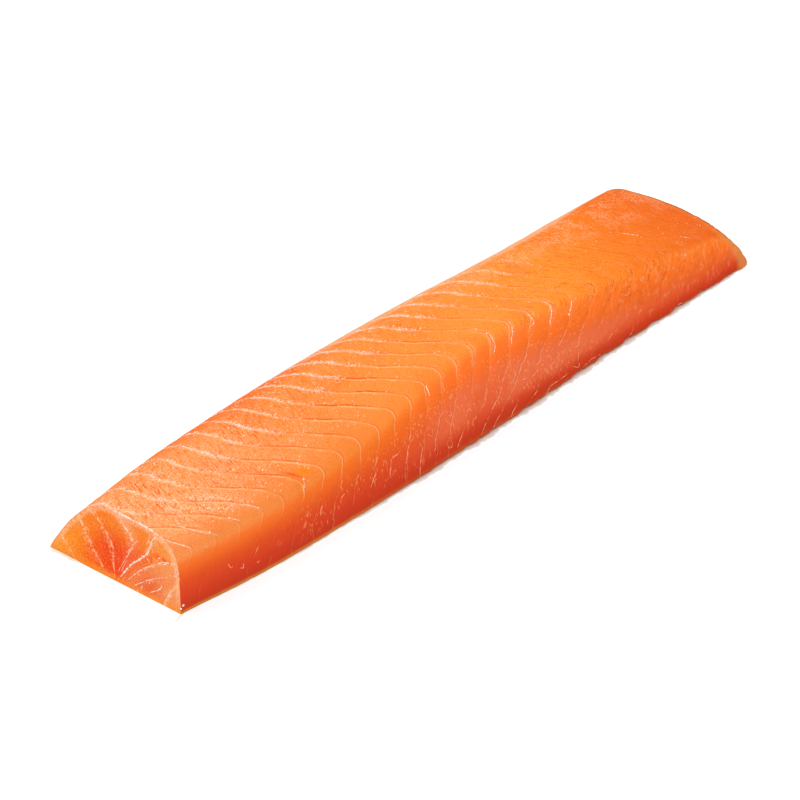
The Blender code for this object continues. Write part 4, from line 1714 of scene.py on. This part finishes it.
@dataclass(frozen=True)
class FleshFinish:
    """Moist smoked flesh: orange over the top, red towards the wall's foot, amber at thin edges.
    The red at the foot is partly painted shade, the amber along the foot a painted glow, and
    the finish also paints wet sheen, gloss, glints, shade in the seams and a floor reflection.

    A noise has a name, a size per metre, a detail and a roughness.
    """

    along_top: Stops = (
        (0.0, 242, 142, 76), (0.25, 242, 132, 52), (0.55, 245, 140, 46), (0.70, 246, 141, 38),
        (0.82, 243, 123, 34), (1.0, 230, 95, 26))
    # Darker and redder down the wall to the foot: partly the flesh's own deeper red, partly painted
    # shade.
    down_wall: Stops = (
        (0.0, 246, 128, 36), (0.14, 244, 114, 38), (0.33, 238, 103, 34), (0.55, 225, 80, 34),
        (0.74, 211, 65, 34), (0.88, 197, 58, 30), (1.0, 193, 64, 32))
    cut_inside: Stops = (
        (0.0, 234, 124, 60), (0.17, 224, 84, 42), (0.28, 234, 117, 64), (0.39, 237, 112, 48),
        (0.5, 236, 88, 32), (0.61, 233, 66, 10), (0.72, 234, 70, 10), (0.83, 240, 102, 18),
        (1.0, 248, 146, 30))
    cut_outside: Stops = (
        (0.0, 236, 150, 94), (0.17, 237, 136, 78), (0.28, 240, 144, 82), (0.39, 242, 142, 58),
        (0.50, 242, 122, 30), (0.545, 242, 154, 98), (0.585, 242, 120, 26), (0.72, 242, 122, 26),
        (0.85, 246, 138, 32), (0.94, 246, 148, 44), (1.0, 244, 160, 80))
    noises: tuple[tuple[str, float, float, float], ...] = (
        ("fleck", 1900.0, 1.0, 0.6), ("patch", 60.0, 3.0, 0.5), ("cloud", 45.0, 2.0, 0.5),
        ("spot", 110.0, 2.0, 0.5), ("sway", 330.0, 2.0, 0.5), ("gap", 95.0, 2.0, 0.5),
        ("thread", 210.0, 2.0, 0.5), ("crumb", 1100.0, 1.0, 0.5), ("dot", 700.0, 1.0, 0.5),
        ("smear", 300.0, 2.0, 0.5), ("char", 420.0, 2.0, 0.5), ("grit", 1500.0, 2.0, 0.7),
        ("bead", 900.0, 1.0, 0.5), ("cut_gap", 520.0, 2.0, 0.5), ("crust", 1000.0, 2.0, 0.6),
        ("grain", 1500.0, 2.0, 0.6))
    masks: tuple[Mask, ...] = (
        Mask("shoulder", (
            ("edge",), ("along", 0.12, 0.455, -0.702, -0.624), ("along", 0.60, 0.97, 0.0, -0.123)),
             join=Join.SUM),
        # How wide the band of painted gloss under the shoulder is, along the fillet.
        Mask("gloss_width", (("along", 0.22, 0.38, 0.03, 0.135), ("along", 0.80, 0.95, 1.0, 0.33))),
        Mask("grains", (("specks", 0.47, 0.56),)),
        # head, tail, bend, scuffed and all_over place the painted wet sheen; head also places dark
        # strokes.
        Mask("head", (("along", 0.36, 0.02), ("edge", 0.02, 0.16), ("shoulder", -0.08, -0.19))),
        Mask("tail", (
            ("along", 0.45, 0.62), ("edge", 0.26, 0.40), ("edge", 0.62, 0.56),
            ("spot", 0.38, 0.58), ("along", 0.60, 0.85, 0.9, 1.15))),
        Mask("bend", (
            ("foot", 0.30, 0.12), ("edge", 0.12, 0.02), ("along", 0.35, 0.50),
            ("along", 0.74, 0.60, 0.3, 1.0), ("apart", 0.26, 0.08)), 0.8),
        Mask("scuffed", (("scuff",),), 1.6),
        Mask("all_over", (
            ("foot", 0.25, 0.05), ("edge", 0.0, 0.10, 0.3, 1.0), ("along", 0.55, 0.80, 0.34, 0.12))),
        # All of the painted wet sheen, added up.
        Mask("shine", (("head",), ("tail",), ("bend",), ("scuffed",), ("all_over",)), join=Join.SUM),
        Mask("brushed", (("edge", 0.18, 0.30), ("edge", 0.52, 0.46)), 0.8),
        Mask("stroked", (("head",), ("brushed",)), join=Join.SUM),
        Mask("middle", (("along", 0.16, 0.28), ("edge", 0.26, 0.42)), 0.75),
        # The top's streaked band: dark furrows, and rows of painted sheen.
        Mask("worn", (("along", 0.48, 0.66), ("middle",)), join=Join.MOST),
        Mask("down", (("foot",), ("along", 0.62, 0.82, 0.0, -0.3)), join=Join.SUM),
        Mask("rubbed", (("worn",), ("down", 0.4, 0.1))),
        # The grain of the painted gloss, evener towards the tail.
        Mask("gloss_grain", (("grains", 0.0, 1.0, 0.20, 0.80), ("along", 0.62, 0.74, 0.0, 0.50)),
             join=Join.MOST),
        Mask("wrinkled", (("along", 0.62, 0.80), ("foot", 0.0, 0.14), ("foot", 0.90, 0.65))),
        Mask("tailward", (("along", 0.58, 0.76),)),
        Mask("gaps", (("gap", 0.38, 0.56),)),
        Mask("fine", (("thread", 0.40, 0.60),)),
        Mask("paling", (("tailward", 0.0, 1.0, 1.0, 0.10), ("edge", 0.18, 0.26, 1.0, 0.45))),
        Mask("fading", (("paling",), ("edge", 0.60, 0.70, 0.0, 0.40)), join=Join.MOST),
        Mask("off_top", (
            ("skin",), ("run", 0.5, 6.0, 1.0, 0.0), ("tailward", 0.0, 1.0, 1.0, 0.12),
            ("along", 0.04, 0.28, 0.25, 1.0))),
        Mask("turn", (("off_top",), ("foot", 0.30, 0.10))),
        Mask("beside", (("near", 0.028, 0.0), ("near", 0.972, 1.0)), join=Join.SUM),
        Mask("cut_gaps", (("cut_gap", 0.48, 0.60),)),
    )
    bending: Steps = (("along", 0.15, 0.40, 0.85, 1.0), ("along", 0.42, 0.82, 0.0, 0.5))
    outside: tuple[Wash, ...] = (
        Wash(Tint.THIN_EDGE, (("patch", 0.48, 0.72), ("foot", 0.4, 0.1)), 0.35),
        # Darker red low on the wall at the head end: partly the flesh's own red, partly painted
        # shade.
        Wash(Tint.WALL_RED, (("foot", 0.10, 0.45), ("along", 0.46, 0.20)), 0.30),
        # Painted reflection of the floor: a pinker band across the wall, above the deep red.
        Wash(Tint.SALMON, (
            ("depth", 0.21, 0.46), ("foot", 0.84, 0.60), ("along", 0.27, 0.46),
            ("along", 0.62, 0.84, 1.0, 0.35), ("cloud", 0.38, 0.58, 0.45, 0.85))),
        # Painted glow of light through the thin flesh along the wall's foot.
        Wash(Tint.FOOT_AMBER, (("foot", 0.905, 0.965), ("along", 0.36, 0.20, 0.28, 0.95))),
        Wash(Tint.THIN_EDGE, (
            ("shoulder", -0.26, -0.12), ("along", 0.06, 0.18, 0.2, 1.0),
            ("along", 0.31, 0.44, 1.0, 0.25))),
        Wash(Tint.CREVICE, (
            ("stroke", 0.46, 0.36), ("stroked",), ("along", 0.75, 0.45, 0.2, 1.0),
            ("patch", 0.35, 0.6, 0.2, 0.75))),
        Wash(Tint.CREVICE, (
            ("streak", 0.44, 0.32), ("rubbed",), ("along", 0.70, 0.88, 0.75, 0.32))),
        # Painted sheen in pale rows of streaks under the far rim.
        Wash(Tint.SHEEN, (
            ("streak", 0.52, 0.64), ("rubbed",), ("shoulder", -0.34, -0.14, 0.2, 0.9),
            ("shoulder", 0.10, 0.02), ("grains",))),
        Wash(Tint.THIN_EDGE, (("fleck", 0.47, 0.38), ("foot", 0.35, 0.10)), 0.36),
        # Painted wet sheen, broken into pale grains.
        Wash(Tint.SHEEN, (("shine",), ("grains",)), 0.36),
        # Painted gloss: a pale highlight in colour along the shoulder, where the top falls away to
        # the thin edge.
        Wash(Tint.SHEEN, (
            ("gloss", -1.2, -0.75), ("shoulder", 0.13, 0.01), ("along", 0.26, 0.42),
            ("along", 0.998, 0.95), ("gloss_grain",))),
        Wash(Tint.SEPTUM, (
            ("wall_fleck", 0.60, 0.69), ("foot", 0.12, 0.32), ("foot", 0.90, 0.70),
            ("patch", 0.36, 0.54), ("along", 0.10, 0.18), ("along", 0.80, 0.60)), 0.42),
        Wash(Tint.WALL_RED, (
            ("wall_stroke", 0.47, 0.36), ("foot", 0.25, 0.50), ("foot", 0.97, 0.88),
            ("along", 0.50, 0.25)), 0.30),
        Wash(Tint.WALL_RED, (("crease", 0.44, 0.32), ("wrinkled",)), 0.26),
        Wash(Tint.SHEEN, (("crease", 0.55, 0.68), ("wrinkled",)), 0.18),
        Wash(Tint.BLOT, (("blot",),)),
        Wash(Tint.SLIT, (("slit",),)),
        Wash(Tint.TIP_AMBER, (("tip_line", 0.1550, 0.1596), ("foot", 0.0, 0.2, 0.4, 0.8))),
        Wash(Tint.TIP_BROWN, (("tip", 0.1585, 0.1598), ("foot", 0.7, 0.2)), 0.8),
    )
    seam_lines: tuple[Wash, ...] = (
        # Painted shade in each seam's groove, on its far side.
        Wash(Tint.SEAM_DARK, (
            ("near", 0.0, 0.014), ("near", 0.11, 0.05), ("run", 3.0, 8.0), ("edge", 0.36, 0.26),
            ("skin",), ("gaps", 0.0, 1.0, 0.40, 0.95), ("along", 0.12, 0.32, 0.60, 1.0),
            ("along", 0.32, 0.56, 1.0, 0.42))),
        # The pale septum along each seam's near lip, with a painted highlight where light catches
        # the lip.
        Wash(Tint.SEPTUM, (
            ("near", 0.82, 0.88), ("run", 0.5, 6.0), ("skin",), ("fine", 0.0, 1.0, 0.25, 0.70),
            ("fading",), ("along", 0.36, 0.60, 1.0, 0.65))),
        # Painted glints dotted along the seams' ridges near the thin edge.
        Wash(Tint.SHEEN, (
            ("apart", 0.17, 0.03), ("edge", 0.19, 0.32), ("edge", 0.50, 0.43),
            ("crumb", 0.46, 0.60), ("skin",), ("tailward", 0.0, 1.0, 0.75, 0.0))),
        # Where the seams turn down the wall: painted shade beside each seam, and a pale septum with
        # a painted highlight on its lip.
        Wash(Tint.TURN_LINE, (("turn",), ("near", 0.07, 0.01)), 0.85),
        Wash(Tint.SEPTUM, (("turn",), ("near", 0.90, 0.96)), 0.75),
        Wash(Tint.DOT_RED, (
            ("along", 0.68, 0.74), ("along", 0.92, 0.86), ("near", 0.07, 0.02),
            ("run", -10.0, -7.0), ("run", 3.0, 1.0), ("skin",), ("dot", 0.50, 0.58))),
        Wash(Tint.SEPTUM, (
            ("beside",), ("off_top",), ("foot", 0.12, 0.32), ("foot", 0.99, 0.93), ("fine",)), 0.42),
        Wash(Tint.UNDERSIDE, (("below",),)),
    )
    over_cut: tuple[Wash, ...] = (
        Wash(Tint.SHEEN, (("fibre", 0.44, 0.66),), 0.09),
        # Painted glow of light through the thin flesh along the cut's bottom.
        Wash(Tint.AMBER, (("height", 0.0036, 0.0008), ("smear", 0.4, 0.6, 0.5, 0.9))),
        Wash(Tint.BURNT, (
            ("char", 0.40, 0.54), ("lip", 0.42, 0.58), ("lip", 0.95, 0.84),
            ("height", 0.0200, 0.0176), ("off_char", 0.5, 0.3)), 0.85),
        Wash(Tint.CUT_DARK, (("grit", 0.48, 0.36, 0.0, 0.36),)),
        Wash(Tint.SHEEN, (("grit", 0.54, 0.68, 0.0, 0.28),)),
        Wash(Tint.RIM_PALE, (("bead", 0.54, 0.62), ("within", 0.26, 0.05), ("height", 0.003, 0.008)),
             0.6),
        Wash(Tint.RIM_PALE, (("within", 0.09, 0.015), ("cut_gaps", 0.0, 1.0, 0.06, 0.70))),
        Wash(Tint.RIM_PALE, (
            ("lip", 0.90, 0.965), ("height", 0.002, 0.008), ("crust", 0.42, 0.60, 0.30, 1.0)), 0.75),
    )
    wet: Steps = (
        ("foot", 0.35, 0.05, 0.15, 1.0), ("along", 0.60, 0.85, 1.0, 0.45),
        ("edge", 0.50, 0.34, 0.15, 1.0), ("uncut",))
    fibre_height: Steps = (("strand",), ("foot", 0.2, 0.5, 0.9, 0.35))
    grain_height: Steps = (("grain",), ("edge", 0.02, 0.30, 0.30, 1.0))
    form: FilletForm = FilletForm()
    tip_shift: float = 0.0052
    tip_rake: float = 0.0040
    swaying: float = 0.035
    fleck_share: float = 0.6
    streak_size: tuple[float, float] = (11.0, 0.28)
    stroke_size: Triple = (0.0034, 0.00042, 0.00042)
    strand_size: Triple = (0.0030, 0.00060, 0.00060)
    wall_fleck_size: Triple = (0.0007, 0.0007, 0.0022)
    crease_size: Triple = (0.0042, 0.0013, 0.0026)
    grain_angle: float = math.radians(70.0)
    crease_angle: float = math.radians(30.0)
    fan_zones: float = 9.0
    fibre_size: tuple[float, float] = (9.0, 260.0)
    char_seam: float = 3.38
    turn_to_cut: tuple[float, float] = (0.42, 0.86)
    turn_to_wall: tuple[float, float] = (0.0, 0.16)
    roughness: float = 0.40
    shine: float = 0.0
    glaze: float = 0.22
    glaze_roughness: float = 0.12
    dry_cut: float = 0.75
    glow: float = 0.12
    glow_reach: Triple = (1.0, 0.30, 0.12)
    glow_depth: float = 0.002
    grain_strength: float = 0.9
    bump_strength: float = 0.8
    bump_distance: float = 0.00025

    def places(self, w: Wiring, place: NodeSocket) -> Reads:
        """What can be read of where a point is.

        Args:
            w: The finish's wiring.
            place: The point's X, Y and Z.

        Returns:
            The readings by name.
        """
        reads = {name: w.named(name) for name in (
            "seam", "run", "foot", "edge", "cut", "fan", "lip", "below", "scuff", "blot", "slit")}
        x, y, reads["height"] = w.parted(place)
        foot, seam, fan, cut = (reads[name] for name in ("foot", "seam", "fan", "cut"))
        length, skew = self.form.length, self.form.tail_skew
        reads["along"] = w.math("DIVIDE", w.math("ADD", x, length / 2), length)
        reads["depth"] = w.math("POWER", foot, w.total(*w.each(reads, self.bending)))
        reads["tip"] = w.total(x, w.product(y, math.tan(skew)), self.tip_shift)
        reads["tip_line"] = w.total(reads["tip"], w.product(foot, self.tip_rake))
        reads["skin"] = w.inverse(cut)
        reads["uncut"] = w.inverse(w.product(cut, self.dry_cut))
        reads["apart"], reads["within"] = w.apart(seam), w.apart(fan)
        reads["off_char"] = w.math("ABSOLUTE", w.math("SUBTRACT", fan, self.char_seam))
        reads["zone"] = w.math("DIVIDE", fan, self.fan_zones)
        return reads

    def readings(self, w: Wiring, place: NodeSocket) -> Reads:
        """Everything that the finish reads: places, noises and masks.

        Args:
            w: The finish's wiring.
            place: The point's X, Y and Z.

        Returns:
            The readings by name.
        """
        reads = self.places(w, place)
        reads |= {name: w.speckle(place, *sizes) for name, *sizes in self.noises}

        def along_fibres(size: Triple, detail: float) -> NodeSocket:
            """A noise drawn out along the muscle fibres."""
            return w.speckle(w.drawn(place, size, self.grain_angle), 1.0, detail)

        def crossed(first: str, second: str, size: tuple[float, float]) -> NodeSocket:
            """The place counted along one reading and across another."""
            return w.joined(*(w.math("MULTIPLY", reads[name], scale)
                              for name, scale in zip((first, second), size)))

        sway = w.math("MULTIPLY", w.math("SUBTRACT", reads["sway"], 0.5), self.swaying)
        reads["near"] = w.math("FRACT", w.math("ADD", reads["seam"], sway))
        reads["stroke"] = along_fibres(self.stroke_size, 1.0)
        reads["strand"] = along_fibres(self.strand_size, 2.0)
        reads["specks"] = w.total(w.product(reads["fleck"], self.fleck_share),
                                  w.product(reads["stroke"], 1 - self.fleck_share))
        reads["streak"] = w.speckle(crossed("seam", "run", self.streak_size), 1.0, 2.0, 0.6)
        reads["fibre"] = w.speckle(crossed("fan", "height", self.fibre_size), 1.0, 3.0, 0.6)
        on_wall = w.drawn(place, self.wall_fleck_size)
        reads["wall_fleck"] = w.speckle(on_wall, 1.0, 1.0)
        reads["wall_stroke"] = w.speckle(on_wall, 0.7, 2.0)
        creased = w.drawn(place, self.crease_size, self.crease_angle)
        reads["crease"] = w.speckle(creased, 1.0, 2.0, 0.6)
        for mask in self.masks:
            joined = w.fold(mask.join, *w.each(reads, mask.steps))
            reads[mask.name] = joined if mask.share == 1.0 else w.product(joined, mask.share)
        # The shoulder, counted in widths of the painted gloss.
        reads["gloss"] = w.math("DIVIDE", reads["shoulder"], reads["gloss_width"])
        return reads

    def washed(self, w: Wiring, reads: Reads, colour: NodeSocket,
               washes: tuple[Wash, ...]) -> NodeSocket:
        """Lays a row of washes over a colour, in order.

        Args:
            w: The finish's wiring.
            reads: What the washes can read.
            colour: The colour below.
            washes: The washes.

        Returns:
            The colour on top.
        """
        for wash in washes:
            share = w.product(*w.each(reads, wash.steps), wash.share)
            colour = w.mixed(share, colour, wash.tint.value)
        return colour

    def material(self) -> Material:
        """Builds the finish.

        Returns:
            The material.
        """
        material, w = new_finish("flesh")
        reads = self.readings(w, w.add("ShaderNodeTexCoord").outputs["Object"])
        skin = w.mixed(w.ramp(reads["foot"], *self.turn_to_wall),
                       w.gradient(reads["along"], self.along_top),
                       w.gradient(reads["depth"], self.down_wall))
        skin = self.washed(w, reads, skin, self.outside + self.seam_lines)
        cut = w.mixed(w.ramp(reads["lip"], *self.turn_to_cut),
                      w.gradient(reads["zone"], self.cut_inside),
                      w.gradient(reads["zone"], self.cut_outside))
        cut = self.washed(w, reads, cut, self.over_cut)
        height = w.total(w.mask(reads, self.fibre_height),
                         w.product(w.mask(reads, self.grain_height), self.grain_strength))
        normal = w.add("ShaderNodeBump", {"Strength": self.bump_strength,
                                          "Distance": self.bump_distance,
                                          "Height": height}).outputs[0]
        w.surface({
            "Base Color": w.mixed(reads["cut"], skin, cut), "Roughness": self.roughness,
            "Specular IOR Level": self.shine,
            "Coat Weight": w.product(w.mask(reads, self.wet), self.glaze),
            "Coat Roughness": self.glaze_roughness, "Subsurface Weight": self.glow,
            "Subsurface Radius": self.glow_reach, "Subsurface Scale": self.glow_depth,
            "Normal": normal, "Coat Normal": normal})
        return material


@dataclass(frozen=True)
class Lamp:
    """A square lamp that faces the fillet."""

    name: str
    place: Triple
    size: float
    power: float

    def build(self) -> None:
        """Sets up the lamp."""
        data = bpy.data.lights.new(self.name, "AREA")
        data.shape = "SQUARE"
        data.size = self.size
        data.energy = self.power
        aimed(self.name, data, self.place, -Vector(self.place))


@dataclass
class Studio:
    """A lit white floor, a soft sky, the lamps and the camera."""

    camera_place: Triple = (-0.6303, -0.5261, 0.4617)
    forward: Triple = (0.6619, 0.5639, -0.4939)
    focal: float = 117.0
    sensor: float = 36.0
    floor_size: float = 24.0
    floor_drop: float = 0.0001
    floor_white: Colour = (0.58, 0.64, 0.64)
    floor_roughness: float = 0.9
    floor_glow: float = 0.475
    floor_tint: Colour = (0.99, 0.995, 1.0)
    sky_low: float = 0.10
    sky_high: float = 1.32
    sky_rise: tuple[float, float] = (0.35, 0.95)
    lamps: tuple[Lamp, ...] = (
        Lamp("key", (-0.75, 0.85, 1.15), 0.30, 10.0),
        Lamp("fill", (-0.65, -1.05, 0.95), 0.80, 8.5),
    )

    def camera(self) -> None:
        """Sets up the camera at the photograph's angle."""
        data = bpy.data.cameras.new("camera")
        data.lens = self.focal
        data.sensor_width = self.sensor
        camera = aimed("camera", data, self.camera_place, Vector(self.forward))
        bpy.context.scene.camera = camera

    def floor(self) -> None:
        """Lays the plain floor, which glows like a light table."""
        half = self.floor_size / 2
        mesh = bpy.data.meshes.new("floor")
        corners = [(-half, -half), (half, -half), (half, half), (-half, half)]
        mesh.from_pydata([(x, y, -self.floor_drop) for x, y in corners], [], [(0, 1, 2, 3)])
        material, w = new_finish("floor")
        w.surface({"Base Color": (*self.floor_white, 1.0), "Roughness": self.floor_roughness,
                   "Specular IOR Level": 0.0, "Emission Color": (*self.floor_tint, 1.0),
                   "Emission Strength": self.floor_glow})
        mesh.materials.append(material)
        floor = linked("floor", mesh)

    def sky(self) -> None:
        """Sets the sky, dark near the horizon."""
        world = bpy.data.worlds.new("studio")
        world.use_nodes = True
        background = world.node_tree.nodes["Background"]
        background.inputs["Color"].default_value = (1.0, 1.0, 1.0, 1.0)
        w = Wiring(world.node_tree)
        *_, height = w.parted(w.add("ShaderNodeTexCoord").outputs["Generated"])
        w.feed(background.inputs["Strength"],
               w.ramp(height, *self.sky_rise, self.sky_low, self.sky_high))
        bpy.context.scene.world = world

    def build(self) -> None:
        """Builds the whole studio."""
        bpy.context.scene.view_settings.view_transform = "Standard"
        self.camera()
        self.floor()
        self.sky()
        for lamp in self.lamps:
            lamp.build()


def keep(piece: Object) -> Object:
    """Sets a finished piece on the fillet's body.

    Args:
        piece: The piece.

    Returns:
        The same piece.
    """
    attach(piece, BODY)
    LOG.info("%s: %d faces", piece.name, len(piece.data.polygons))
    return piece


def main() -> None:
    """Builds the studio and every piece, in order."""
    logging.basicConfig(level=logging.INFO, format="%(name)s: %(message)s")
    Studio().build()
    body = FleshBody(FilletSurface(FilletForm()))
    flesh = keep(body.build(FleshFinish().material()))
    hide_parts(NODE)
    tissue = ThreadFinish("tissue", seen(244, 144, 100)).material()
    glinting = ThreadFinish("glint", seen(252, 216, 198), roughness=0.2, shine=0.6).material()
    milky = ThreadFinish("milky", seen(246, 208, 190)).material()
    watery = ThreadFinish("drop", seen(255, 240, 222), roughness=0.1).material()
    marks = Markings()
    for kind, lines, finish in (
            (ThreadKind.WISP, marks.on_flesh(body, marks.wisps), tissue),
            (ThreadKind.HAIR, marks.on_flesh(body, marks.hairs), tissue),
            (ThreadKind.RIDGE, marks.ridges(body) + marks.on_flesh(body, marks.glints), glinting),
            (ThreadKind.SEPTUM, marks.over_cuts(body, marks.cut_lines), milky),
            (ThreadKind.FAINT, marks.over_cuts(body, marks.faint_cut_lines), tissue),
            (ThreadKind.RIM, marks.round_rim(body, End.HEAD), milky)):
        keep(Threads(kind, lines).build(flesh, finish))
    keep(BrineBeads().build(flesh, glinting))
    keep(Drops().build(body, flesh, watery))
    keep(SkinFilmAndShadow().build(body, FilmAndShadowFinish().material()))


if __name__ == "__main__":
    main()
